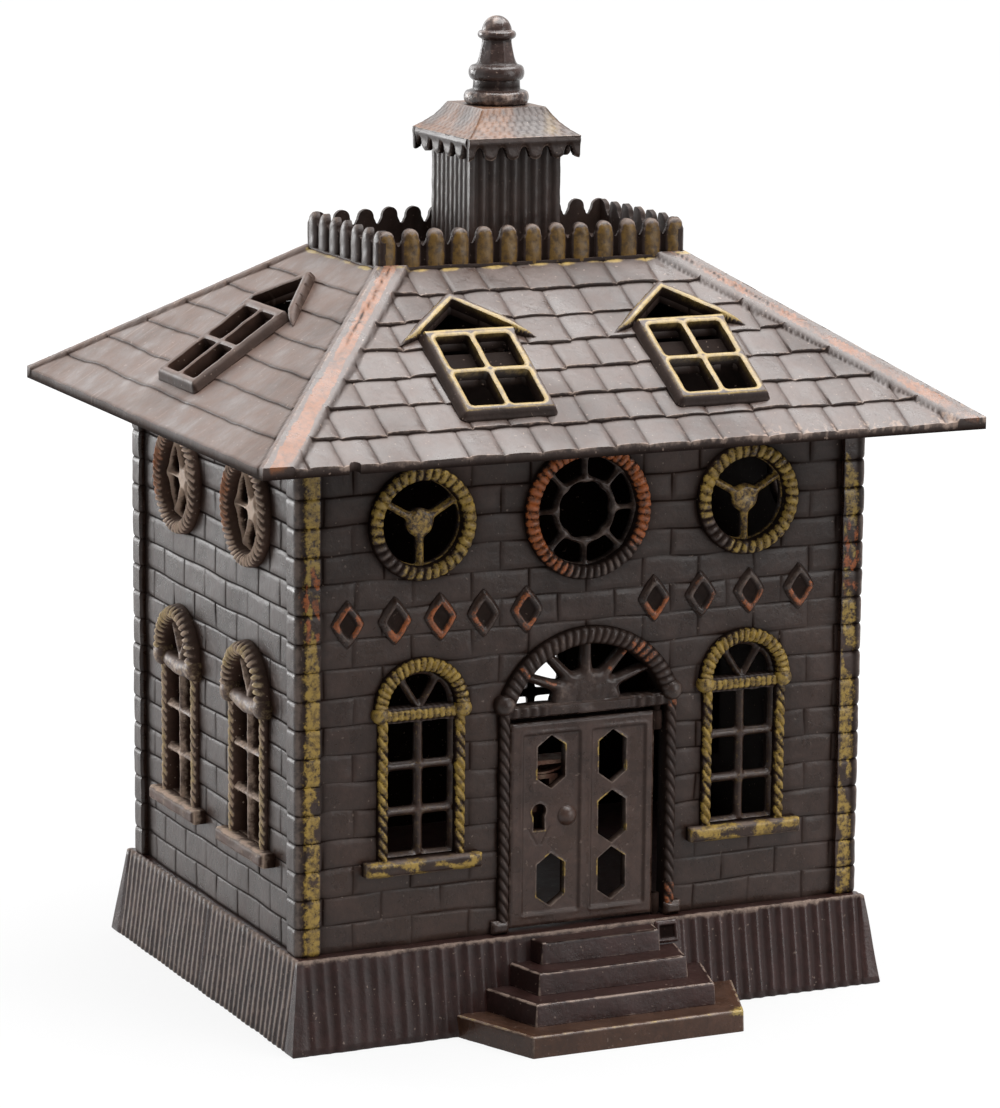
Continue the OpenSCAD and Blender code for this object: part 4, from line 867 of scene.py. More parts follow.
def corner_column(sx, sy, gold, seed):
    """Column of rounded corner blocks: a square plan with one round corner, drawn in at each joint by
    0.34 |2t - 1|^9 of the course."""
    r, n = 1.5, QUOIN
    turn = np.radians(np.linspace(180, 270, 9))
    edge = np.linspace(0, 1, 13)[1:]
    a = np.concatenate([r + r * np.cos(turn), r + (n - r) * edge, n + 0 * edge,
                        n - n * edge[:-1], 0 * edge[:-1]])
    b = np.concatenate([r + r * np.sin(turn), 0 * edge, n * edge,
                        n + 0 * edge[:-1], n - (n - r) * edge[:-1]])
    t = np.array([0, 0.035, 0.09, 0.18, 0.34, 0.5, 0.66, 0.82, 0.91, 0.965])
    rows = np.append((np.arange(COURSES)[:, None] + t[None]).ravel(), COURSES)
    local = rows - np.floor(rows)
    rng = np.random.default_rng(seed)
    push = rng.uniform(0, 0.12, COURSES + 1)[np.minimum(rows.astype(int), COURSES - 1)][:, None]
    inset = (0.34 * np.abs(2 * local - 1) ** 9)[:, None]
    a, b, z = a[None], b[None], (WALL_FOOT + rows * COURSE)[:, None]
    x = a + (inset + push) * (1 - a / n) + 0.05 * ripple(b, z, 5, seed)
    y = b + (inset + push) * (1 - b / n) + 0.05 * ripple(a, z, 5, seed + 1)
    z = z + 0 * x
    # on the front a light outer edge, rubbed and also a painted highlight, a dark band, then a line of gold
    # that turns copper in the upper middle
    front = bell(b, 0.5) * (a < n)
    stripe = bell(np.maximum(np.abs(a - 3.7) - 1.0, 0), 0.8) * (1 - 2.0 * inset)
    patch = step(ripple(z, a * 3, 18, seed + 2) + 0.5 * ripple(z, a * 2, 5, seed + 3), -1.1, 0.1)
    reddish = bell(z - 92, 9) * step(ripple(z, a * 2, 4, seed + 5), -0.3, 0.5)
    band = bell(a - 1.9, 0.7) * front
    rubbed_lit_arris = np.exp(-((a - 0.4) ** 2 + (b - 0.4) ** 2) / 0.9)
    marks = mark(x.shape, gold=gold * front * (0.2 + 0.42 * stripe) * patch * (1 - reddish),
                 copper=gold * 0.8 * front * reddish * (0.4 + 0.6 * stripe),
                 soot=2.4 * inset + 0.6 * band, wear=0.8 * rubbed_lit_arris * (1 - 2 * inset))
    return outward(lattice(np.stack([sx * (BODY_X - x), sy * (BODY_Y - y), z], -1), marks))


class BANK_OT_corner_blocks(Operator):
    """Columns of corner blocks at the four corners"""
    bl_idname = "bank.corner_blocks"
    bl_label = "Corner blocks"

    def execute(self, context):
        for face, sy, gold in (("front", -1, 1.0), ("rear", 1, 0.25)):
            columns = [corner_column(-1, sy, gold, 21), corner_column(1, sy, gold * 0.85, 33)]
            casting(face + "_corner_blocks", columns, finish(context, "wall"), face + "_wall",
                    44)
        return {"FINISHED"}


class BANK_OT_windows(Operator):
    """Arched windows of all four walls, each with its surround, glazing bars and sill"""
    bl_idname = "bank.windows"
    bl_label = "Arched windows"

    def execute(self, context):
        sizes = context.scene.bank_sizes
        walls = {"front": (FRONT_WINDOWS, 0.95, front_window, (1.2, -2.2, -1.3)),
                 "rear": (REAR_WINDOWS, 0.2, front_window, (1.2, -2.2, -1.3)),
                 "left": (SIDE_WINDOWS, 0.5, side_window, (0.3, -1.8, -0.3)),
                 "right": (SIDE_WINDOWS, 0.4, side_window, (1.2, -3.7, -0.3))}
        for face, (places, gold, window, sash) in walls.items():
            parts = [placed(part, on_wall(face)) for i, x in enumerate(places)
                     for part in window(sizes, x, gold, sizes.seed + 9 * i + len(face), sash)]
            # the left face's trim takes the lighter copy of the japan, as painted light
            kind = "side_trim" if face == "left" else "wall"
            casting(face + "_windows", parts, finish(context, kind), face + "_wall", 50)
        return {"FINISHED"}


class BANK_OT_round_windows(Operator):
    """Round windows under the eaves"""
    bl_idname = "bank.round_windows"
    bl_label = "Round windows"

    def execute(self, context):
        reed = in_mm(context.scene.bank_sizes.reed)

        def all_round(amount, worn, width):
            """Bronze all round a ring but for a patch about width degrees long at the angle worn."""
            def left(angle):
                patch = bell((angle - worn + 180) % 360 - 180, width)
                uneven = np.sin(np.radians(3 * angle)) * np.sin(np.radians(5 * angle))
                return amount * (1 - patch) * (0.8 + 0.3 * uneven)
            return left
        for face, places in (("front", FRONT_WINDOWS), ("rear", REAR_OCULI), ("left", SIDE_WINDOWS),
                             ("right", SIDE_WINDOWS)):
            parts = []
            for x in places:
                if face in LONG_FACES:
                    gold = 0.95 if face == "front" else 0.15
                    parts.append(ring(x, OCULUS_R, 3.0, 1.9, reed * 1.2, 0.15,
                                      gold=all_round(gold, -140, 30)))
                    parts.append(spokes(x, OCULUS_R, (30, 150, 270), 0.75, 2.9, 0.3, gold=0.42 * gold,
                                        copper=0.3 * gold))
                else:
                    parts.append(ring(x, OCULUS_R, 3.0, 2.5, reed, 0.8, copper=all_round(0.8, -20, 140),
                                      rub=lambda angle: 1.4 + 0 * angle, dirt=lambda angle: 0.45 + 0 * angle))
                    parts.append(spokes(x, OCULUS_R, range(0, 360, 60), 0.4, 1.7, 0.6, wear=0.9, soot=0))
            if face == "front":
                parts.append(ring(0, ROSE_R, 3.0, 1.9, reed * 1.05, 0.1, copper=all_round(1.0, -75, 45)))
                parts.append(spokes(0, ROSE_R, range(0, 360, 45), 0.4, 0, 0.55, 6.45, wear=0.5))
            parts = [placed(part, on_wall(face)) for part in parts]
            # the left face's round windows take the lighter copy of the japan, as painted light
            kind = "side_trim" if face == "left" else "wall"
            casting(face + "_round_windows", parts, finish(context, kind), face + "_wall",
                    50)
        return {"FINISHED"}


class BANK_OT_doorway(Operator):
    """Doorway: reeded arch on knobs, fanlight, beaded lintel and roped jambs"""
    bl_idname = "bank.doorway"
    bl_label = "Doorway and fanlight"

    def execute(self, context):
        sizes = context.scene.bank_sizes
        knob_z = DOOR_TOP + 3.2
        low = math.degrees(math.asin((knob_z - FAN_Z) / (FAN_R + 1.9)))
        line = arc(FAN_R + 1.85, (DOOR_X, FAN_Z), low, 180 - low, in_mm(sizes.reed) * 1.1)
        worn = patchy(line, 10, 5, 0.1, 0.7)
        parts = [moulding(line, 3.8, 2.0, -WALL_T, 0.25, 0.28, 0.8, rub=0.35, copper=0.4 * worn)]
        for side, edge in ((-1, DOOR_L), (1, DOOR_R)):
            x = edge + side * 1.2
            parts.append(knob(x, knob_z, 2.3, 2.4, copper=0.1))
            line = straight(x, WALL_FOOT + 1.2, knob_z - 0.5, side, in_mm(sizes.rope))
            worn = patchy(line, 14, 8, 0.2, 0.8) * (side > 0)
            parts.append(moulding(line, 2.4, 1.6, -WALL_T, 0.7 * side, 0.3, 0.4, rub=0.35, copper=0.5 * worn))
            u, v = np.meshgrid(lines(min(edge, edge + side * 4.2), max(edge, edge + side * 4.2), 0.3),
                               lines(WALL_FOOT + 0.1, WALL_FOOT + 3.0, 0.3))
            along = (u - edge) * side
            inside = np.minimum(1.35 - np.abs(v - WALL_FOOT - 1.5), np.minimum(along - 0.05, 3.9 - along))
            w = 1.9 - 1.1 * (1 - step(inside, -0.05, 0.9)) ** 2
            parts.append(slab(u, v, w, inside, mark(u.shape, wear=0.5 * (1 - step(inside, 0.1, 0.7))), -0.5))

        # lintel
        u, v = grid(DOOR_L - 1.2, DOOR_R + 1.2, DOOR_TOP, DOOR_TOP + 2.8, 0.3, 0.22)
        bead = (0.5 + 0.5 * np.cos(2 * np.pi * (u - DOOR_X) / 2.2)) * step(np.abs(u - DOOR_X), 9, 9.4)
        band = step(v, DOOR_TOP, DOOR_TOP + 0.5) * step(DOOR_TOP + 2.6 - v, 0, 0.5)
        w = 0.5 + 0.7 * band + 0.08 * ripple(u, v, 4, 2) - 0.3 * bead * band
        keep = np.minimum(v - DOOR_TOP - 0.02, DOOR_TOP + 2.6 - v) + 0.12 * ripple(u, v, 6, 12)
        marks = mark(u.shape, wear=0.5 * (1 - band) + 0.25 * band * (1 - bead), soot=0.6 * bead,
                     copper=0.5 * band * step(ripple(u, v * 0, 7, 19), 0.2, 0.8))
        parts.append(slab(u, v, w, keep, marks, -WALL_T))

        # fanlight: bars that spread and taper from a point above the lintel, and a half round hub
        u, v = grid(DOOR_X - FAN_R - 0.5, DOOR_X + FAN_R + 0.5, DOOR_TOP + 1, FAN_Z + FAN_R + 0.5, 0.3)
        foot = DOOR_TOP + 3.4
        bars = [inside_bar(u, v, DOOR_X, foot, DOOR_X + 20 * math.cos(a), foot + 20 * math.sin(a), 1.3, 0.7)
                for a in np.radians((20, 46, 90, 134, 160))]
        hub = 8.3 - np.hypot(u - DOOR_X, v - DOOR_TOP - 0.4)
        inside = merged(bars + [hub], 0.5)
        keep = np.minimum(inside, FAN_R + 0.3 - np.hypot(u - DOOR_X, v - FAN_Z))
        left = step(ripple(u, v, 5, 2), 0.1, 0.6) * (hub < -1) * np.clip(inside, 0, 1)
        parts.append(grille(u, v, keep, inside / 1.1, -0.9, 0.4, -2.4, copper=0.55 * left))

        # lip behind the door's head, which stops the leaf, dark all over as painted shade
        u, v = grid(DOOR_L + 1.5, DOOR_R - 1.5, DOOR_TOP - 2, DOOR_TOP + 2, 0.8, 0.5)
        parts.append(slab(u, v, -2.9 + 0 * u, 1 + 0 * u, mark(u.shape, soot=1), -4.3))
        parts = [placed(part, on_wall("front")) for part in parts]
        casting("doorway", parts, finish(context, "wall"), "front_wall", 50)
        return {"FINISHED"}


class BANK_OT_lozenges(Operator):
    """Row of raised lozenges between the storeys"""
    bl_idname = "bank.lozenges"
    bl_label = "Row of lozenges"

    def execute(self, context):
        parts = []
        for i, x in enumerate(LOZENGES):
            u, v = grid(x - 4.4, x + 4.4, LOZENGE_Z - 5.5, LOZENGE_Z + 5.5, 0.3)
            inside = (1 - (np.abs(u - x) / 3.7) ** 1.15 - (np.abs(v - LOZENGE_Z) / 5.1) ** 1.15) * 2.6
            hollow = step(inside, 1.1, 1.5)
            rim = (1 - hollow) * step(inside, 0.2, 0.5)
            w = 0.15 + 1.0 * step(inside, 0, 0.7) - 0.75 * hollow + 0.05 * ripple(u, v, 2, i)
            left = step(ripple(u, v, 8, 90 + i), -0.7, 0.6) * (1.0 if i in (0, 1, 2, 5) else 0.55)
            marks = mark(u.shape, copper=0.9 * rim * left, wear=0.5 * rim,
                         soot=0.7 * hollow + 0.6 * (1 - step(inside, 0, 0.3)))
            parts.append(placed(slab(u, v, w, inside, marks, -0.5), on_wall("front")))
        casting("lozenge_row", parts, finish(context, "wall"), "front_wall", 50)
        return {"FINISHED"}


def round_rectangle(half_x, half_y, flat_x, flat_y, side_x, side_y):
    """Points round a rectangle, side by side: side_x and side_y are the places of the points along a side
    at the rectangle's smallest size, and only those beyond flat move out with the corners."""
    def spread(s, flat, half, small):
        a = np.abs(s)
        return np.sign(s) * np.where(a <= flat, a, flat + (a - flat) * (half - flat) / (small - flat))
    sx = spread(side_x, flat_x, half_x, side_x[-1])[:-1]
    sy = spread(side_y, flat_y, half_y, side_y[-1])[:-1]
    x = np.concatenate([sx, np.full(len(sy), half_x), -sx, np.full(len(sy), -half_x)])
    y = np.concatenate([np.full(len(sx), -half_y), sy, np.full(len(sx), half_y), -sy])
    return x, y


def skirt(pitch, side_pitch, rib):
    """Skirt and floor plate: a profile carried round a rectangle, from the ribbed outside over the top to
    the rod's hole and back underneath. The grooves are rib (0.5 + 0.5 cos 2 pi s / pitch)^0.75 deep."""
    flat_x, flat_y = TOP_X - 1.2, TOP_Y - 1.2
    side_x = np.linspace(-TOP_X, TOP_X, 2 * int(TOP_X / 0.36) + 1)
    side_y = np.linspace(-TOP_Y, TOP_Y, 2 * int(TOP_Y / 0.36) + 1)

    def grooves(s, flat, pitch):
        wave = (0.5 + 0.5 * np.cos(2 * np.pi * (s + flat) / (2 * flat / round(2 * flat / pitch)))) ** 0.75
        return np.where(np.abs(s) > flat, 0, wave)
    dx, dy = grooves(side_x, flat_x, pitch), grooves(side_y, flat_y, side_pitch)
    # on the front the ribs stop at the steps, and left of them they are weak and uneven
    left = dx * (0.3 + 0.4 * step(side_x, -42, -28) + 0.25 * ripple(side_x, 0 * side_x, 7, 3))
    front = np.where(side_x < DOOR_X - 17, left, np.where(side_x > DOOR_X + 20.5, dx, 0.3))
    groove = np.concatenate([front[:-1], dy[:-1], dx[:-1], dy[:-1]])
    turns = ((0, -1), (1, 0), (0, 1), (-1, 0))
    normal = np.concatenate([np.tile(turn, (n - 1, 1)) for turn, n in zip(turns, (len(dx), len(dy)) * 2)])
    outer = [(0.35, 0.0, 1.0)] + [(0.0, z, 1.0) for z in np.linspace(0.35, WALL_FOOT - 0.25, 15)]
    outer += [(0.25, WALL_FOOT, 1.0), (0.9, WALL_FOOT, 0.75), (1.9, WALL_FOOT - 0.05, 0.0)]
    points, marks = [], []
    for inset, z, ribbed in outer:
        k = z / WALL_FOOT
        hx, hy = FOOT_X + (TOP_X - FOOT_X) * k - inset, FOOT_Y + (TOP_Y - FOOT_Y) * k - inset
        x, y = round_rectangle(hx, hy, flat_x, flat_y, side_x, side_y)
        d = rib * groove * ribbed - 0.08 * ripple(x + y, z + 0 * x, 11, 4)
        points.append(np.stack([x - normal[:, 0] * d, y - normal[:, 1] * d, z + 0 * x], 1))
        rim = 0.75 * (z > WALL_FOOT - 0.3) * (inset < 0.5)
        below = z < WALL_FOOT - 0.3
        side = np.abs(normal[:, 0])
        front_left = (normal[:, 1] < 0) * (x < DOOR_X)
        # crests rubbed light, more on the sides than the front, which also serve as painted highlights along
        # the ribs
        crest_wear_and_highlight = (0.22 + 0.83 * side - 0.18 * front_left) * (1 - groove) ** (2 - 0.6 * side)
        dirt = np.maximum(0.5 * (rim > 0), (0.5 - 0.15 * side) * groove * below) + 0.3 * (inset > 1)
        marks.append(mark((len(x),), wear=np.maximum(rim, crest_wear_and_highlight * below * (groove != 0.3) * (groove > 0)),
                          soot=dirt + 0.2 * front_left * below))
    ends = [("box", 30, 24, WALL_FOOT), ("disc", 6, 0, WALL_FOOT), ("disc", ROD_HOLE_R, 0, WALL_FOOT),
            ("disc", ROD_HOLE_R, 0, BOSS_FOOT), ("disc", BOSS_R, 0, BOSS_FOOT),
            ("disc", BOSS_R, 0, PLATE_FOOT), ("box", TOP_X - 5, TOP_Y - 5, PLATE_FOOT),
            ("box", TOP_X - SKIRT_T, TOP_Y - SKIRT_T, PLATE_FOOT - 0.6),
            ("box", FOOT_X - SKIRT_T, FOOT_Y - SKIRT_T, 0.0)]
    base_x, base_y = round_rectangle(TOP_X, TOP_Y, flat_x, flat_y, side_x, side_y)
    angle = np.arctan2(base_y / TOP_Y, base_x / TOP_X)
    for kind, a, b, z in ends:
        x, y = a * np.cos(angle), a * np.sin(angle)
        if kind == "box":
            x, y = base_x * a / TOP_X, base_y * b / TOP_Y
        points.append(np.stack([x, y, z + 0 * x], 1))
        # the inside and the underside are darkened as painted shade
        marks.append(mark((len(x),), soot=0.5))
    return outward(lattice(np.array(points), np.array(marks), True))


def rounded_outline(corners, radius, spacing=0.8):
    """Outline of a convex plan with round corners, with its outward directions and 1 where a corner is."""
    corners = np.array(corners, float)
    after = np.roll(corners, -1, 0)
    along = (after - corners) / np.linalg.norm(after - corners, axis=1)[:, None]
    normal = np.stack([along[:, 1], -along[:, 0]], 1)
    points, normals, bent = [], [], []
    for i in range(len(corners)):
        n0, n1, n2 = normal[i - 1], normal[i], normal[(i + 1) % len(corners)]
        centre = corners[i] - radius * (n0 + n1) / (1 + n0 @ n1)
        a0, a1 = math.atan2(n0[1], n0[0]), math.atan2(n1[1], n1[0])
        a = np.linspace(a0, a1 + 2 * math.pi * (a1 < a0), 6)
        turn = np.stack([np.cos(a), np.sin(a)], 1)
        start = centre + radius * n1
        end = after[i] - radius * (n1 + n2) / (1 + n1 @ n2) + radius * n1
        k = np.linspace(0, 1, max(int(np.linalg.norm(end - start) / spacing), 1) + 1)[1:-1, None]
        points += [centre + radius * turn, start + (end - start) * k]
        normals += [turn, np.tile(n1, (len(k), 1))]
        bent += [np.array([0, 1, 1, 1, 1, 0.0]), np.zeros(len(k))]
    return np.concatenate(points), np.concatenate(normals), np.concatenate(bent)


def tier(corners, low, high, lean, seed, chip, edge=0.4):
    """Slab of the steps: its outline carried up a leaning riser, round the top edge by a quarter circle,
    and in over the tread. chip is the gold left on it."""
    outline, normal, bent = rounded_outline(corners, 0.7)
    middle = outline.mean(0)
    turn = np.linspace(0, np.pi / 2, 4)[1:]
    foot = 0.5 if low > 0 else 0.0
    sides = [(0.0, z, (z == low + 0.6) * foot) for z in (low, low + 0.35, low + 0.6, low + 0.85)]
    sides += [(0.0, z, 0.0) for z in np.linspace(low + 1.3, high - edge - 0.3, 4)]
    sides += [(0.0, high - edge, 0.35)]
    sides += [(edge * (1 - math.cos(a)), high - edge + edge * math.sin(a), 0.85) for a in turn]
    sides += [(edge + 0.35, high, 0.15)]
    rows, marks = [], []
    for inset, z, worn in sides:
        xy = outline - normal * (inset + lean * (z - low) / (high - low))
        xy = xy + normal * 0.06 * (ripple(xy[:, 0] + 5 * xy[:, 1], z + 0 * xy[:, 0], 9, seed)[:, None] - 1)
        rows.append(np.column_stack([xy, z + 0 * xy[:, 0]]))
        uneven = 0.6 + 0.5 * step(ripple(xy[:, 0] * 2, xy[:, 1] * 2, 6, seed + 2), -0.7, 0.3)
        wear = np.maximum(worn * uneven, 0.6 * bent * (normal[:, 1] < -0.2))
        away = (xy[:, 0] - corners[1][0]) ** 2 + (xy[:, 1] - corners[1][1]) ** 2
        left = np.exp(-away / 9) * (z > high - 1.2)
        dirt = 0.12 + 0.65 * (z < low + 0.5) + 0.4 * (np.abs(normal[:, 0]) > 0.5)
        marks.append(mark((len(xy),), wear=wear, gold=chip * np.maximum(left, 0.35 * wear),
                          soot=dirt * (low > 0)))
    for k in (0.9, 0.75, 0.4):
        xy = middle + (outline - middle) * k
        rows.append(np.column_stack([xy, high + 0.05 * ripple(xy[:, 0], xy[:, 1], 8, seed + 3)]))
        marks.append(mark((len(xy),), soot=0.35))
    return outward(lattice(np.array(rows), np.array(marks)))


class BANK_OT_base(Operator):
    """Fluted skirt with its floor plate, and the four-tier steps"""
    bl_idname = "bank.base"
    bl_label = "Base and steps"

    def execute(self, context):
        sizes = context.scene.bank_sizes
        body = skirt(in_mm(sizes.rib), in_mm(sizes.side_rib), in_mm(sizes.rib_depth))
        # small framed block at the right end of the landing
        x, z = DOOR_X + 17.2, WALL_FOOT - 2.7
        u, v = grid(x - 2.8, x + 2.8, z - 2.4, z + 2.4, 0.25)
        edge = box_distance(u, v, x, z, 2.7, 2.3, 0.4)
        w = 0.1 + 0.3 * step(edge, 0, 0.4) - 0.4 * step(edge, 0.8, 1.2)
        marks = mark(u.shape, wear=0.2 * step(edge, 0.1, 0.4) * (1 - step(edge, 0.5, 0.8)),
                     soot=step(edge, 0.7, 1.1))
        block = placed(slab(u, v, w, edge, marks, -0.8),
                       lambda u, v, w: (u, -(FOOT_Y + (TOP_Y - FOOT_Y) * v / WALL_FOOT + w), v))
        casting("skirt", [body, block], finish(context, "base"), "base", 60)
        tiers = []
        for i in range(4):
            front, half = STEP_FRONT + STEP_GOING * i, STEP_HALF - STEP_NARROWS * i
            wide = half + (STEP_BACK - front) * (STEP_FLARE - FLARE_LOSS * i)
            corners = [(DOOR_X - half, front), (DOOR_X + half, front)]
            corners += [(DOOR_X + wide, STEP_BACK), (DOOR_X - wide, STEP_BACK)]
            low, high = max(i * STEP_RISE - 0.4, 0.0), (i + 1) * STEP_RISE
            tiers.append(tier(corners, low, high, 0.5 if i else 0.1, 70 + i, 0 if i else 0.9))
        casting("steps", tiers[1:], finish(context, "base"), "base", 50)
        casting("bottom_step", tiers[:1], finish(context, "step_slab"), "base", 50)
        return {"FINISHED"}


def box_distance(u, v, cx, cy, hx, hy, r):
    """Distance inside a rectangle with round corners."""
    qx, qy = np.abs(u - cx) - hx + r, np.abs(v - cy) - hy + r
    return r - np.hypot(np.maximum(qx, 0), np.maximum(qy, 0)) - np.minimum(np.maximum(qx, qy), 0)


def shingle_courses(wide, run, mean, jointed, seed):
    """Grid of a slope, (along the eave, in from the eave), whose lines lie on the shingles' joints and run
    along their ragged feet. For each point: its share of its course, its shingle's lift, and how far it is
    from a joint."""
    courses = SHINGLE_COURSES
    t = np.array([0, 0.012, 0.04, 0.10, 0.2, 0.3, 0.42, 0.54, 0.66, 0.78, 0.88, 0.94, 0.972, 0.99])
    rows = np.append((np.arange(courses)[:, None] + t[None]).ravel(), courses) / courses * run
    u0 = np.linspace(-wide, wide, int(2 * wide / 0.62) + 1)
    u, d = np.meshgrid(u0, rows)
    u, d = u.copy(), d.copy()
    course = np.minimum((d / run * courses + 1e-9).astype(int), courses - 1)
    up = d / run * courses - course
    rng = np.random.default_rng(seed)
    lift, gap = np.zeros_like(u), np.full_like(u, 9.0)
    ragged = np.zeros((courses + 1, len(u0)))
    for i in range(courses):
        widths = rng.uniform(0.82 * mean, 1.18 * mean, int(2.6 * wide / mean))
        joints = -wide + np.cumsum(widths) - rng.uniform(0, mean)
        joints = joints[(joints > -wide + 2) & (joints < wide - 2)]
        k = np.searchsorted(joints, u0)
        if jointed:
            ragged[i] = rng.uniform(-1, 1, len(joints) + 1)[k]
        else:
            ragged[i] = 0.9 * ripple(u0, 9 * i + 0 * u0, 22, seed)
        band = slice(i * len(t), (i + 1) * len(t))
        lift[band] = rng.uniform(-1, 1, (len(joints) + 1, 3))[k, 0][None]
        # the nearest grid line moves onto each joint
        nearest = np.clip(np.round((joints + wide) / (u0[1] - u0[0])).astype(int), 1, len(u0) - 2)
        row = u0.copy()
        row[nearest], row[nearest - 1], row[nearest + 1] = joints, joints - 0.33, joints + 0.33
        u[band] = row[None]
        gap[band] = np.abs(row[:, None] - joints[None]).min(1)[None]
    here, above = ragged[course[:, 0]], ragged[np.minimum(course[:, 0] + 1, courses)]
    d = d + 0.36 * here * np.clip(1 - up / 0.35, 0, 1) * (course > 0)
    d = d + 0.36 * above * np.clip((up - 0.65) / 0.35, 0, 1) * (course < courses - 1)
    return u, d, up, lift, gap


def shingles(face, sizes, joint_depth, lap, seed):
    """Slope of shingles as a height over (along the eave, in from the eave): each course falls by lap from
    its foot to its head, its joints are grooves, and every shingle has its own lift and ragged foot."""
    front, jointed = face in LONG_FACES, joint_depth > 0
    wide, run = (EAVE_X, EAVE_Y - DECK_Y) if front else (EAVE_Y, EAVE_X - DECK_X)
    other = (EAVE_X - DECK_X) if front else (EAVE_Y - DECK_Y)
    rise = DECK_Z - EAVE_Z
    u, d, up, lift, gap = shingle_courses(wide, run, in_mm(sizes.shingle), jointed, seed)
    groove = bell(gap, 0.26)
    lips = bell(gap - 0.62, 0.3)
    cushion = 1.7 * np.exp(-gap / 1.1) * jointed
    h = -lap * up - joint_depth * groove * (0.35 + 0.65 * (1 - up)) - 0.12 * cushion
    h += (0.15 * lift * (1 - up) * jointed + 0.10 * ripple(u, d, 11, seed + 1)
          + 0.02 * ripple(u, d, 4, seed + 2))
    # a dark line just under each course's lip, which is painted shadow, and the lip itself
    undercut_shadow, lip = np.clip((up - 0.93) / 0.05, 0, 1), bell(up, 0.035)

    # hips: flat ribs with a seam beside the ridge and a dark line at their foot
    edge = (wide - d * other / run - np.abs(u)) / math.hypot(1, other / run)
    reach = 4.6 if front else 1.0
    rib = 1 - step(edge, reach, reach + 0.5)
    seam = bell(edge - 0.7, 0.2) * front
    beside = bell(edge - reach - 0.6, 0.4)
    h = h * (1 - rib) + rib * (0.5 + 0.04 * ripple(u, d, 5, seed + 3) - 0.2 * seam)
    keep = edge + 0.01
    v = d * math.hypot(run, rise) / run
    for x in DORMERS[face]:
        keep = np.minimum(keep, dormer_holes(u - x, v, in_mm(sizes.frame_bar)) - 0.25)
    if face == "rear":
        slot = np.maximum(np.abs(u) - COIN_SLOT_HALF, np.abs(v - COIN_SLOT_UP) - COIN_SLOT_THICK)
        keep = np.minimum(keep, slot)
    nick = np.hypot(u - NICK_X, 1.4 * d) - NICK_R
    keep = np.minimum(keep, nick) if face == "front" else keep

    # the bronze on the hips has cracked along the rib, most of all near the deck
    crack = bell(edge - 2.0 - 0.15 * ripple(d, u * 0, 6, seed + 14), 0.2)
    crack = 0.7 * crack * step(d / run, 0.45, 0.75)
    strip = step(edge, 0.8, 1.05) * (1 - step(edge + 1.1 * d / run, 4.0, 4.4))
    copper = {"front": 0.95, "rear": 0.25, "left": 0.12, "right": 0.12}[face]
    copper = copper * strip * np.where(u < 0, 1.0, 0.55)
    copper = copper * (0.82 + 0.3 * ripple(d, u * 0.4, 8, seed + 6)) * (1 - crack)
    gold_line = bell(run - d - 0.5, 0.5) * (0.5 + 0.5 * ripple(u, d * 0, 6, seed + 7))
    gold_line = gold_line * (face != "rear")
    flaked = step(ripple(u * 1.3, d, 1.6, seed + 8) + 0.6 * ripple(u, d, 4, seed + 9), 0.0, 0.6)
    flaked = flaked * bell(d, 3.5) * step(u, -10, 35) * (face == "front")
    ridge = 0.7 * bell(edge, 0.35) + 0.45 * bell(edge - reach + 0.1, 0.25)
    line = undercut_shadow if jointed else 0.6 * undercut_shadow + 0.3 * bell(up, 0.06)
    grime = 0.06 * (1 + lift) * jointed + 0.15 * step(ripple(u, d, 26, seed + 12), -0.2, 0.9)
    dirt = np.maximum(0.3 * groove * jointed, line) + grime
    rubbed = (0.55 * lip + 0.48 * lips) * jointed
    marks = mark(u.shape, soot=(1 - rib) * dirt + 0.6 * beside + rib * crack * front,
                 wear=(1 - rib) * rubbed + rib * ridge + 0.8 * flaked, copper=copper, gold=0.8 * gold_line)
    half = EAVE_Y if front else EAVE_X
    return placed(slab(u, d, h, keep, marks, -ROOF_T),
                  lambda u, d, h: faced(face, u, half - d, EAVE_Z + d * rise / run + h))


def dormer_holes(u, v, bar):
    """Distance outside the panes of a dormer at u = 0: four panes with round corners between thinner inner
    bars, and a gable pane."""
    thin = 0.65 * bar
    wide, high = (DORMER_W - thin) / 2 - bar, (DORMER_PANES - thin) / 2 - bar
    inside = []
    for side in (-1, 1):
        for i in (0, 1):
            middle = DORMER_FOOT + bar + i * (high + thin) + high / 2
            inside.append(box_distance(u, v, side * (wide + thin) / 2, middle, wide / 2, high / 2, 0.9))
    over = gable_distance(u, v) - bar
    inside.append(np.minimum(over, v - DORMER_FOOT - DORMER_PANES - 0.1) - 0.1)
    return -np.max(inside, 0)


def gable_distance(u, v):
    """Distance below the two upper edges of a dormer's gable, which end in the wing tips."""
    fall = (DORMER_LEN - DORMER_PANES + 1.6) / DORMER_REACH
    return (DORMER_FOOT + DORMER_LEN - v - fall * np.abs(u)) / math.hypot(1, fall)


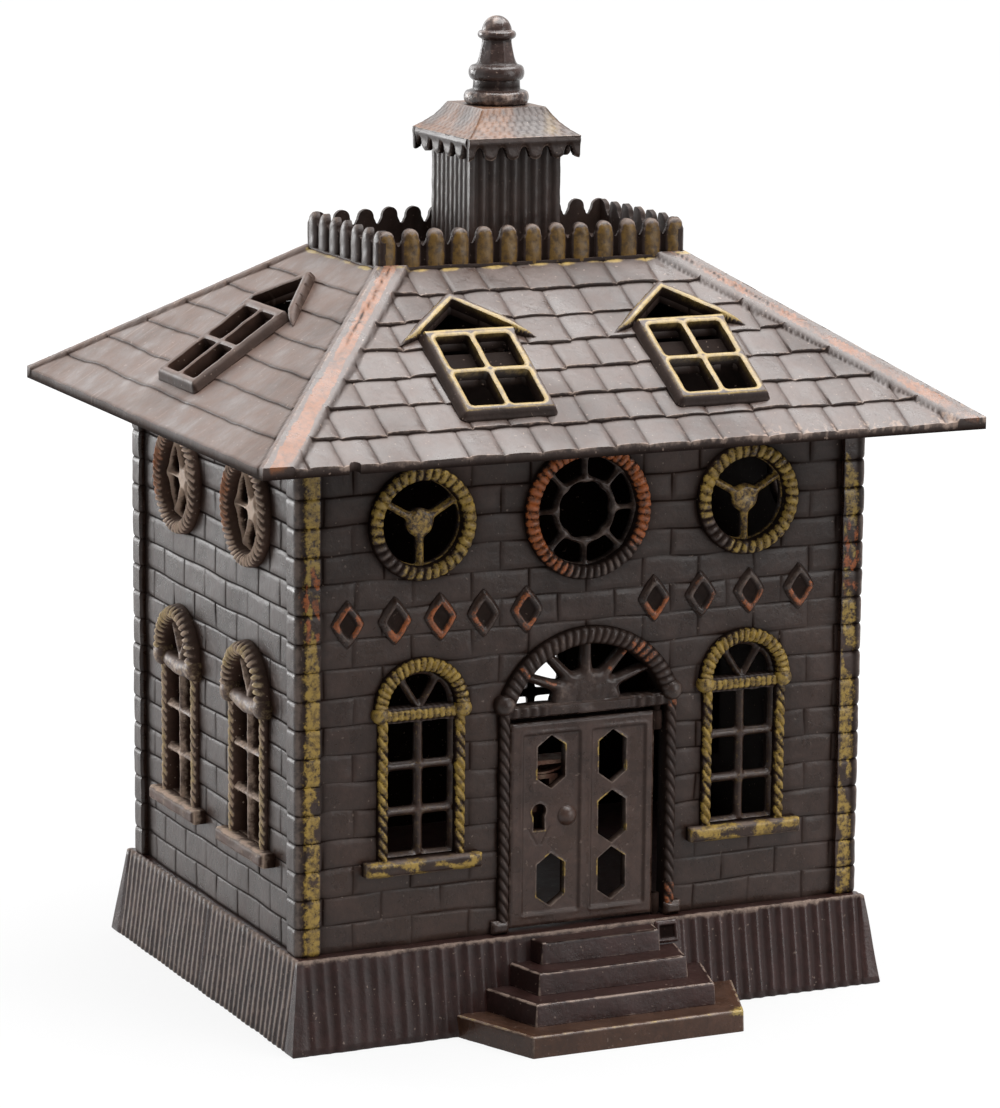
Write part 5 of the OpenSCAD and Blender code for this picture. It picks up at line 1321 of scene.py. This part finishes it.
def dormer(sizes, x, gold, seed):
    """Dormer in relief: a frame whose sides slope down to the roof, under a gable whose bars thin out and
    sink towards the wing tips."""
    bar, half = in_mm(sizes.frame_bar), DORMER_W / 2
    u, v = grid(-DORMER_REACH - 0.3, DORMER_REACH + 0.3,
                DORMER_FOOT - 1.6, DORMER_FOOT + DORMER_LEN + 0.3, 0.33)
    frame_part = box_distance(u, v, 0, DORMER_FOOT + DORMER_PANES / 2, half, DORMER_PANES / 2, 0.5)
    over = gable_distance(u, v)
    away = np.clip((np.abs(u) - half) / (DORMER_REACH - half), 0, 1)
    thick = (bar + 0.3) * (1 - away ** 1.3) + 0.1
    wing = np.minimum(over, np.where(np.abs(u) > half, thick - over, v - DORMER_FOOT - DORMER_PANES + 2))
    outline = np.maximum(frame_part, np.minimum(wing, DORMER_REACH - np.abs(u)))
    panes = dormer_holes(u, v, bar)
    top = (DORMER_H - 0.55) * (1 - away) ** 0.7 + 0.15
    w = top - 0.5 * (1 - step(outline, 0, 0.6)) - 0.3 * (1 - step(panes, -0.1, 0.4))
    w += 0.05 * ripple(u, v, 5, seed)
    slope = 0.75 * (DORMER_H - 0.4) * np.clip(1 + frame_part / 0.8, 0, 1)
    w = np.where(outline > 0, w, slope)
    keep = np.minimum(np.maximum(outline, frame_part + 0.8), panes)
    ridges = 0.4 * bell(outline - 0.35, 0.25)
    ridges += bell(panes - 0.4, 0.4) * (outline > 0)
    face = step(outline, 0.0, 0.3)
    left = gold * (0.12 + 0.88 * ridges) * face * (0.95 + 0.25 * ripple(u, v, 9, seed + 2))
    tip = bell(v - DORMER_FOOT - DORMER_LEN, 3)
    marks = mark(u.shape, gold=left * (1 - 0.6 * tip), copper=0.6 * left * tip,
                 wear=(0.5 if gold else 0.3) * ridges * face,
                 soot=0.55 * (1 - face) + 0.25 * face * (1 - ridges))
    return slab(u + x, v, w, keep, marks, -1.2)


def roof_seat():
    """Upright ring under the slopes that rests on the walls and shuts the gap over them, dark all over as
    painted shade.
    """
    s = np.linspace(-1, 1, 25)[:-1]
    x = np.concatenate([s, 1 + 0 * s, -s, -1 + 0 * s])[:, None]
    y = np.concatenate([-1 + 0 * s, s, 1 + 0 * s, -s])[:, None]
    half_x = np.array([[BRICK_X + 1.0] * 2 + [BRICK_X - WALL_T - 1.4] * 2])
    half_y = np.array([[BRICK_Y + 1.0] * 2 + [BRICK_Y - WALL_T - 1.4] * 2])
    x, y = x * half_x, y * half_y
    rise = DECK_Z - EAVE_Z
    side = (EAVE_X - np.abs(x)) * rise / (EAVE_X - DECK_X)
    top = EAVE_Z - ROOF_T / 2 + np.minimum(side, (EAVE_Y - np.abs(y)) * rise / (EAVE_Y - DECK_Y))
    z = np.where([[0, 1, 1, 0]], top, WALL_TOP)
    return outward(lattice(np.stack([x, y, z], -1), mark(x.shape, soot=1), True))


class BANK_OT_roof(Operator):
    """Four shingled slopes with ribs on the hips, and the deck"""
    bl_idname = "bank.roof"
    bl_label = "Roof"

    def execute(self, context):
        sizes = context.scene.bank_sizes
        lap = in_mm(sizes.lap)
        for face in DORMERS:
            depth, fall, kind = (0.26, lap, "roof") if face in LONG_FACES else (0.0, 0.5 * lap, "side_roof")
            slope = shingles(face, sizes, depth, fall, 90 + sizes.seed + len(face))
            casting(face + "_slope", [slope], finish(context, kind), "roof", 36)
        u, v = grid(-DECK_X, DECK_X, -DECK_Y, DECK_Y, 1.0)
        w = DECK_Z + 0.1 * ripple(u, v, 9, 7)
        hole = np.maximum(np.abs(u) - DECK_HOLE_X, np.abs(v) - DECK_HOLE_Y)
        deck = slab(u, v, w, hole, mark(u.shape, soot=0.5), DECK_Z - ROOF_T)
        casting("deck", [deck], finish(context, "roof"), "roof")
        casting("roof_seat", [roof_seat()], finish(context, "roof"), "roof")
        return {"FINISHED"}


class BANK_OT_dormers(Operator):
    """Dormer frames, two on the front and rear slopes and one on each side"""
    bl_idname = "bank.dormers"
    bl_label = "Dormers"

    def execute(self, context):
        for face, gold, kind in (("front", 0.95, "roof"), ("rear", 0.2, "roof"), ("left", 0.0, "side_roof"),
                                 ("right", 0.0, "side_roof")):
            parts = [placed(dormer(context.scene.bank_sizes, x, gold, 55 + i), on_slope(face))
                     for i, x in enumerate(DORMERS[face])]
            casting(face + "_dormers", parts, finish(context, kind), "roof", 50)
        return {"FINISHED"}


def crest(length, count, wide, gold, seed):
    """Run of pickets with rounded heads over a web that dips between them, drawn (along, up, out)."""
    high = PICKET_H
    pitch = (length - wide) / (count - 1)
    u, v = grid(-length / 2, length / 2, -0.6, high + 0.1, 0.29)
    k = np.clip(np.round((u + (length - wide) / 2) / pitch), 0, count - 1)
    dx = u - (k * pitch - (length - wide) / 2)
    top = high - 0.35 * np.random.default_rng(seed).uniform(0, 1, count)[k.astype(int)]
    taper = wide / 2 - 0.3 * step(v, high * 0.62, high * 0.75)
    head = np.where(v > top - taper, taper - np.hypot(dx, v - top + taper), taper - np.abs(dx))
    dip = 4.1 + 1.0 * np.clip((pitch / 2 - np.abs(dx)) / max((pitch - wide) / 2, 0.3), 0, 1) ** 2
    out = 0.10 + 0.80 * np.sqrt(np.clip(1 - (1 - np.clip(head / (0.5 * wide), 0, 1)) ** 2, 0, 1))
    out += 0.04 * ripple(u, v, 3, seed) - 0.25 * step(v, high - 2.2, high)
    rim = bell(head - 0.15, 0.22) * (head > -0.1)
    face = step(head, 0.15, 0.5) * (1 - 0.7 * step(v, high - 1.9, high - 0.9))
    marks = mark(u.shape, gold=gold * face * (0.9 + 0.3 * ripple(u, v, 5, seed + 1)),
                 wear=(0.6 + 0.4 * gold)
                 * (0.75 * rim * step(v, 3.5, 5.5) + 0.45 * step(v, high - 2.0, high - 0.8)),
                 soot=0.95 * (1 - step(head, -0.3, 0.3)) + 0.3 * (1 - step(v, 0, 1.2)))
    # the back and the walls between are darkened as painted shade, less than elsewhere
    return slab(u, v, out, np.maximum(head, dip - v), marks,
                lambda x, y: -0.9 + 0.25 * np.cos(2 * np.pi * (x + (length - wide) / 2) / pitch - np.pi), 0.4)


class BANK_OT_cresting(Operator):
    """Cresting of round-headed pickets round the deck"""
    bl_idname = "bank.cresting"
    bl_label = "Cresting"

    def execute(self, context):
        x0, y0, wide = DECK_X - 0.9, DECK_Y - 0.9, in_mm(context.scene.bank_sizes.picket)
        runs = {"front": (2 * DECK_X, y0, 13, 1.0), "rear": (2 * DECK_X, y0, 13, 0.1),
                "left": (2 * DECK_Y, x0, 7, 0.0), "right": (2 * DECK_Y, x0, 7, 0.0)}
        for i, (face, (size, reach, count, gold)) in enumerate(runs.items()):
            part = placed(crest(size, count, wide, gold, 120 + i),
                          lambda u, v, w: faced(face, u, reach + w, DECK_Z + v))
            casting(face + "_cresting", [part], finish(context, "tower"), "roof", 50)
        return {"FINISHED"}


def rectangle_rows(rows, spacing, wave, seed):
    """Surface round a rectangle: each row gives half sizes and a height; wave(s, half, row) draws it in."""
    hx, hy = max(r[0] for r in rows), max(r[1] for r in rows)
    sx = np.linspace(-1, 1, int(2 * hx / spacing) | 1)
    sy = np.linspace(-1, 1, int(2 * hy / spacing) | 1)
    points, depths = [], []
    for i, (ax, ay, z) in enumerate(rows):
        wx, wy = wave(sx * hx, hx, i), wave(sy * hy, hy, i)
        x = np.concatenate([sx[:-1] * ax, (ax - wy)[:-1], -sx[:-1] * ax, -(ax - wy)[:-1]])
        y = np.concatenate([-(ay - wx)[:-1], sy[:-1] * ay, (ay - wx)[:-1], -sy[:-1] * ay])
        points.append(np.stack([x, y, z + 0 * x], 1))
        depths.append(np.concatenate([wx[:-1], wy[:-1], wx[:-1], wy[:-1]]))
    points = np.array(points)
    rough = 0.05 * ripple(points[..., 0] + points[..., 1], points[..., 2], 3, seed)
    points[..., :2] *= 1 + rough[..., None] / 12
    return points, np.array(depths)


class BANK_OT_tower(Operator):
    """Fluted tower on the deck"""
    bl_idname = "bank.tower"
    bl_label = "Tower"

    def execute(self, context):
        top = DECK_Z + TOWER_H
        flare = [(z, 0.45 * math.exp(-(z - DECK_Z) / 1.5)) for z in np.linspace(DECK_Z, top - 0.3, 30)]
        rows = [(TOWER_X + 0.45, TOWER_Y + 0.45, DECK_Z - 0.6)]
        rows += [(TOWER_X + f, TOWER_Y + f, z) for z, f in flare] + [(TOWER_X - 0.4, TOWER_Y - 0.4, top)]

        def flutes(s, half, row):
            """Eight flutes on each face, from the first row up."""
            pitch = 2 * (half - 0.8) / 8
            groove = (0.5 - 0.5 * np.cos(2 * np.pi * (s + half - 0.8) / pitch)) ** 1.4
            return 0.35 * np.where(np.abs(s) < half - 0.8, groove, 0) * (row > 0)
        points, depth = rectangle_rows(rows, 0.26, flutes, 8)
        side = np.abs(points[..., 0]) > TOWER_X - 0.9
        marks = mark(depth.shape, soot=1.2 * depth, wear=np.where(side, 0.15, 0.1) * (1 - depth / 0.8) ** 2)
        casting("tower", [outward(lattice(points, marks))], finish(context, "tower"), "roof",
                60)
        return {"FINISHED"}


class BANK_OT_cupola(Operator):
    """Cupola roof with its scalloped valance"""
    bl_idname = "bank.cupola"
    bl_label = "Cupola roof"

    def execute(self, context):
        eave, hx, hy = CUPOLA_EAVE, CUPOLA_X, CUPOLA_Y
        t = np.linspace(0, 1, 37)
        curve = np.interp(t, [0, 0.3, 0.6, 0.85, 1], [0, 0.2, 0.46, 0.76, 1])
        course = 0.07 * (1 - (t * 6 - np.floor(t * 6))) * (t < 0.99)
        rows = [(hx - 2, hy - 2, eave - 1.2), (hx - 0.2, hy - 0.2, eave - 0.6), (hx, hy, eave - 0.25)]
        rows += [(hx - CUPOLA_RUN * a + 0.02, hy - CUPOLA_RUN * a + 0.02, eave + CUPOLA_RISE * b + c - 0.1)
                 for a, b, c in zip(t, curve, course)]

        def joints(s, half, row):
            tooth = 0.5 + 0.5 * np.cos(2 * np.pi * s / 2.3 + np.pi * (int(t[max(row - 3, 0)] * 6) % 2))
            return 0.05 * tooth ** 4 * (row > 3) * (np.abs(s) < half - 0.5)
        points, depth = rectangle_rows(rows, 0.4, joints, 9)
        k = np.arange(len(rows))[:, None] + np.zeros(depth.shape, int)
        x, y = points[..., 0], points[..., 1]
        fan = np.abs(np.abs(x) - np.abs(points[:, :1, 0]) - np.abs(y) + np.abs(points[:, :1, 1]))
        hip = bell(fan, 0.35) * (k > 4) * (k < 38)
        stain = step(ripple(x, y, 9, 4) - x / 14, -0.9, 0.9) * (k > 3)
        green = step(ripple(x, y, 8, 14) + x / 20, 0.4, 1.3) * (k > 3)
        rub = 0.6 * np.isin(k, (2, 3, 4)) + 0.25 * (course[np.maximum(k - 3, 0)] > 0.055) * (k > 3)
        marks = mark(depth.shape, copper=0.6 * stain, gold=0.6 * green, wear=rub, soot=7 * depth + 0.7 * hip)
        parts = [outward(lattice(points, marks))]
        for face in DORMERS:
            half, size, reach = (hx, hx, hy) if face in LONG_FACES else (hy, hy - 1.5, hx)
            u, v = grid(-size, size, eave - VALANCE - 0.1, eave, 0.24)
            away = np.abs(u / (half / 2.5) - np.round(u / (half / 2.5)))
            notch = 2.3 * np.clip(1 - (away / 0.26) ** 2.6, 0, 1)
            notch += 0.45 * np.clip((0.5 - away) / 0.2, 0, 1) ** 2
            keep = (v - eave + VALANCE - 0.15 - notch) * 0.8
            lip = 1 - step(keep, 0.1, 0.5)
            w = -0.12 - 0.35 * (1 - step(keep, -0.1, 0.6)) + 0.32 * bell(v - eave + 0.9, 0.75)
            marks = mark(u.shape, wear=0.6 * lip + 0.5 * step(v, eave - 0.5, eave), soot=0.15)
            part = slab(u, v, w + 0.03 * ripple(u, v, 4, 3), keep, marks, -1.5)
            parts.append(placed(part, lambda u, v, w: faced(face, u, reach + w, v)))
        casting("cupola", parts, finish(context, "cupola"), "cupola_roof", 50)
        return {"FINISHED"}


class BANK_OT_finial(Operator):
    """Turned finial that screws onto the rod"""
    bl_idname = "bank.finial"
    bl_label = "Finial"

    def execute(self, context):
        r, h = FINIAL_R, FINIAL_H
        bead = np.radians(np.linspace(-90, 90, 11))

        def torus(radius, z, high, bulge):
            """Half round bead of the profile."""
            return np.stack([radius - bulge + bulge * np.cos(bead),
                             z + high / 2 + high / 2 * np.sin(bead)], 1)
        dome = np.radians(np.linspace(0, 88, 12))
        neck = 0.46 * r
        profile = np.concatenate([
            [[0.882 * r, 0]], torus(r, 0, 0.15 * h, 0.11 * r),
            [[0.74 * r, 0.165 * h], [0.725 * r, 0.2 * h], [0.72 * r, 0.25 * h]],
            torus(0.86 * r, 0.27 * h, 0.17 * h, 0.14 * r), [[0.64 * r, 0.45 * h], [0.61 * r, 0.47 * h]],
            np.stack([np.linspace(0.6 * r, neck, 8), np.linspace(0.49 * h, 0.725 * h, 8)], 1),
            torus(0.59 * r, 0.74 * h, 0.09 * h, 0.1 * r), [[neck * 1.02, 0.835 * h]],
            np.stack([neck * np.cos(dome), 0.84 * h + 0.16 * h * np.sin(dome)], 1)])
        z = profile[:, 1] / h

        def facets(angle, height):
            """Eight flats on the neck and, weaker, on the head."""
            t = (height - FINIAL_FOOT) / h
            flat = math.cos(math.pi / 8) / np.cos((angle % (np.pi / 4)) - np.pi / 8)
            weight = np.exp(-((t - 0.6) / 0.12) ** 4) + 0.5 * step(t, 0.85, 0.9)
            return 1 + (flat - 1) * weight * 0.9 + 0.006 * ripple(angle * 3, t * 20, 3, 5)

        def marks(shape):
            """Rubbed on the beads and the dome's top, drawn light there as painted highlights too, dirty in
            the three necks between them.
            """
            bulge = bell(profile[:, 0] / r - 0.98, 0.06) + 0.8 * step(z, 0.9, 0.97)
            necks = ((0.8, 0.21, 0.05), (0.5, 0.46, 0.03), (0.5, 0.73, 0.02))
            dirt = sum(most * bell(z - at, long) for most, at, long in necks)
            flat = np.zeros(shape)
            return mark(shape, wear=(0.22 + 0.3 * bulge)[:, None] + flat, soot=dirt[:, None] + flat)
        part = turned(profile[:, 0], profile[:, 1] + FINIAL_FOOT, (0, 0), marks, 96, facets)
        casting("finial_casting", [part], finish(context, "finial"), "finial", 40)
        return {"FINISHED"}


def outside_hexagon(u, v, x, z, wide=6.4, high=11.4):
    """Distance outside an upright hexagon with steep shoulders."""
    du, dv = np.abs(u - x), np.abs(v - z)
    drop = wide * 0.36
    side = math.hypot(wide / 2, drop)
    return np.maximum(du - wide / 2, (du * drop + (dv - high / 2) * wide / 2) / side)


class BANK_OT_door(Operator):
    """Door leaf with two panels, five openings and a keyhole, and its knuckles and pintles"""
    bl_idname = "bank.door"
    bl_label = "Door"

    def execute(self, context):
        u, v = grid(LEAF_L, LEAF_R, LEAF_FOOT, LEAF_TOP, 0.27)
        key_x, key_z, middle = LEAF_L + KEYHOLE_X, LEAF_FOOT + KEYHOLE_Z, (LEAF_FOOT + LEAF_TOP) / 2
        hexes = np.min([outside_hexagon(u, v, LEAF_L + a, LEAF_FOOT + b) for a, b in HEXAGONS], 0)
        foot = np.maximum(v - key_z, key_z - 4.1 - v)
        foot = np.maximum(np.abs(u - key_x) - 1.2 - 0.04 * (key_z - v), foot)
        keyhole = np.minimum(np.hypot(u - key_x, v - key_z) - 1.65, foot)
        border = np.minimum(np.minimum(u - LEAF_L, LEAF_R - u), np.minimum(v - LEAF_FOOT, LEAF_TOP - v))
        panel = np.max([box_distance(u, v, LEAF_L + a, middle, half, PANEL_HALF_H, 0.4)
                        for a, half in PANELS], 0)
        sunk = step(panel, -0.15, 0.3)
        moulded = bell(panel + 0.45, 0.25)
        plate = np.abs(np.abs(u - key_x) - np.clip(2.9 - 0.55 * (key_z - 2.5 - v), 0, 2.9))
        scribed = bell(plate, 0.22) * (v > key_z - 7) * (v < key_z - 3.2)
        rim = bell(np.minimum(hexes, keyhole), 0.3)
        w = -0.4 * sunk + 0.10 * moulded + 0.10 * rim - 0.1 * scribed - 0.35 * (1 - step(border, 0, 0.5))
        w = np.minimum(0.08, w + 0.08 * ripple(u, v, 14, 31) + 0.015 * ripple(u, v, 4, 32))
        rubbed = np.maximum(0.8 * rim, 0.5 * (1 - step(border, 0.1, 0.6)))
        marks = mark(u.shape, wear=rubbed + 0.2 * moulded,
                     soot=0.4 * bell(panel, 0.3) + 0.5 * scribed,
                     gold=0.7 * rim * step(ripple(u, v, 6, 33), -0.1, 0.6))
        leaf = slab(u, v, w - 0.08, np.minimum(hexes, keyhole), marks, -LEAF_T)
        parts = [placed(leaf, on_wall("front"))]
        hinge_x, hinge_y = DOOR_R - 1.45, -(BRICK_Y - 0.9)
        a = np.linspace(0, 2 * np.pi, 20, endpoint=False)[None]
        for end, way in ((LEAF_FOOT, 1), (LEAF_TOP, -1)):
            radius = np.array([0.65, 0.8, 0.8, 1.0, 1.15, 1.15, 1.0])[:, None]
            z = end + way * np.array([-2.0, -1.85, 0.0, 0.0, 0.15, 3.8, 4.0])[:, None]
            post = np.stack([hinge_x + radius * np.cos(a), hinge_y + radius * np.sin(a), z + 0 * a], -1)
            # knuckles and pintles darkened as painted shade in the gap beside the leaf
            parts.append(outward(lattice(post, mark(post.shape[:2], soot=0.75))))
            u, v = np.meshgrid(lines(LEAF_R - 0.2, hinge_x, 0.3), lines(*sorted((end, end + way * 4)), 0.4))
            # the tongue is darkened as painted shade too
            tongue = slab(u, v, -0.15 + 0.05 * ripple(u, v, 3, 6), 1 + 0 * u, mark(u.shape, soot=0.75), -2.0)
            parts.append(placed(tongue, on_wall("front")))
        casting("door_leaf", parts, finish(context, "door"), "door", 45, "door")
        return {"FINISHED"}


def sheet_steel(context, name, tone, rough):
    """Rolled sheet steel, oiled and gone brown: dull metal under a thin broken film of rust."""
    shades = context.scene.bank_colours
    mat, tree = new_material(name)
    steel, rust = (np.clip(np.array(shade) * (*tone, 1), 0, 1) for shade in (shades.steel, shades.rust))
    place = add(tree, "TexCoord", output="Object")
    film = add(tree, "TexNoise", {"Vector": place, "Scale": 1 / (RUST_PATCH * MM), "Detail": 5.0,
                                  "Roughness": 0.65})
    fine = add(tree, "TexNoise", {"Vector": place, "Scale": 1 / (STEEL_GRAIN * MM), "Detail": 3.0})
    film = add(tree, "MapRange", {0: film, 1: 0.38, 2: 0.6})
    colour = add(tree, "Mix", {0: film, 6: tuple(steel), 7: tuple(rust)}, 2, data_type="RGBA")
    metal = add(tree, "MapRange", {0: film, 3: 0.85, 4: 0.15})
    dull = add(tree, "MapRange", {0: film, 3: rough, 4: 0.75})
    bump = add(tree, "Bump", {"Strength": 0.4, "Distance": 0.15 * MM, "Height": fine})
    shader = add(tree, "BsdfPrincipled", {"Base Color": colour, "Metallic": metal, "Roughness": dull,
                                          "Normal": bump})
    add(tree, "OutputMaterial", {"Surface": shader})
    return mat


class BANK_OT_hardware(Operator):
    """Finishes of the rod, its nut, the lock and its rivets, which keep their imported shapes"""
    bl_idname = "bank.hardware"
    bl_label = "Rod, lock and rivets"

    def execute(self, context):
        rod = sheet_steel(context, "drawn_steel_rod", (1, 1, 1), 0.42)
        lock = sheet_steel(context, "sheet_iron_lock", (1.05, 0.9, 0.8), 0.5)
        for nodes, material in ((("tie_rod", "rod_nut"), rod),
                                (("lock_case", "lock_bolt", "lock_spring", "key_post"), lock),
                                (("case_rivet", "guide_rivet"), finish(context, "door"))):
            for node in nodes:
                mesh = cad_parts[node].data
                mesh.materials.clear()
                mesh.materials.append(material)
        return {"FINISHED"}


class BANK_PT_panel(Panel):
    """Sizes, colours and the castings in the order that they are made"""
    bl_idname = "BANK_PT_panel"
    bl_label = "Building bank"
    bl_space_type = "VIEW_3D"
    bl_region_type = "UI"
    bl_category = "Building Bank"

    def draw(self, context):
        scene = context.scene
        for title, group in (("Sizes", scene.bank_sizes), ("Colours", scene.bank_colours)):
            box = self.layout.box()
            box.label(text=title)
            for name in group.__annotations__:
                box.prop(group, name)
        for operator in OPERATORS:
            self.layout.operator(operator.bl_idname)


OPERATORS = (BANK_OT_stage, BANK_OT_base, BANK_OT_brickwork, BANK_OT_corner_blocks, BANK_OT_windows,
             BANK_OT_round_windows, BANK_OT_doorway, BANK_OT_lozenges, BANK_OT_roof, BANK_OT_dormers,
             BANK_OT_cresting, BANK_OT_tower, BANK_OT_cupola, BANK_OT_finial, BANK_OT_door, BANK_OT_hardware)
CLASSES = (BankSizes, BankColours) + OPERATORS + (BANK_PT_panel,)


def register():
    """Makes the add-on's classes known to Blender, and hangs its sizes and colours on the scene."""
    for cls in CLASSES:
        bpy.utils.register_class(cls)
    bpy.types.Scene.bank_sizes = PointerProperty(type=BankSizes)
    bpy.types.Scene.bank_colours = PointerProperty(type=BankColours)


def unregister():
    """Takes back what register did."""
    del bpy.types.Scene.bank_colours
    del bpy.types.Scene.bank_sizes
    for cls in reversed(CLASSES):
        bpy.utils.unregister_class(cls)


def main():
    """Builds the bank and its stage."""
    register()
    for operator in OPERATORS:
        getattr(bpy.ops.bank, operator.bl_idname.split(".")[1])()


if __name__ == "__main__":
    main()
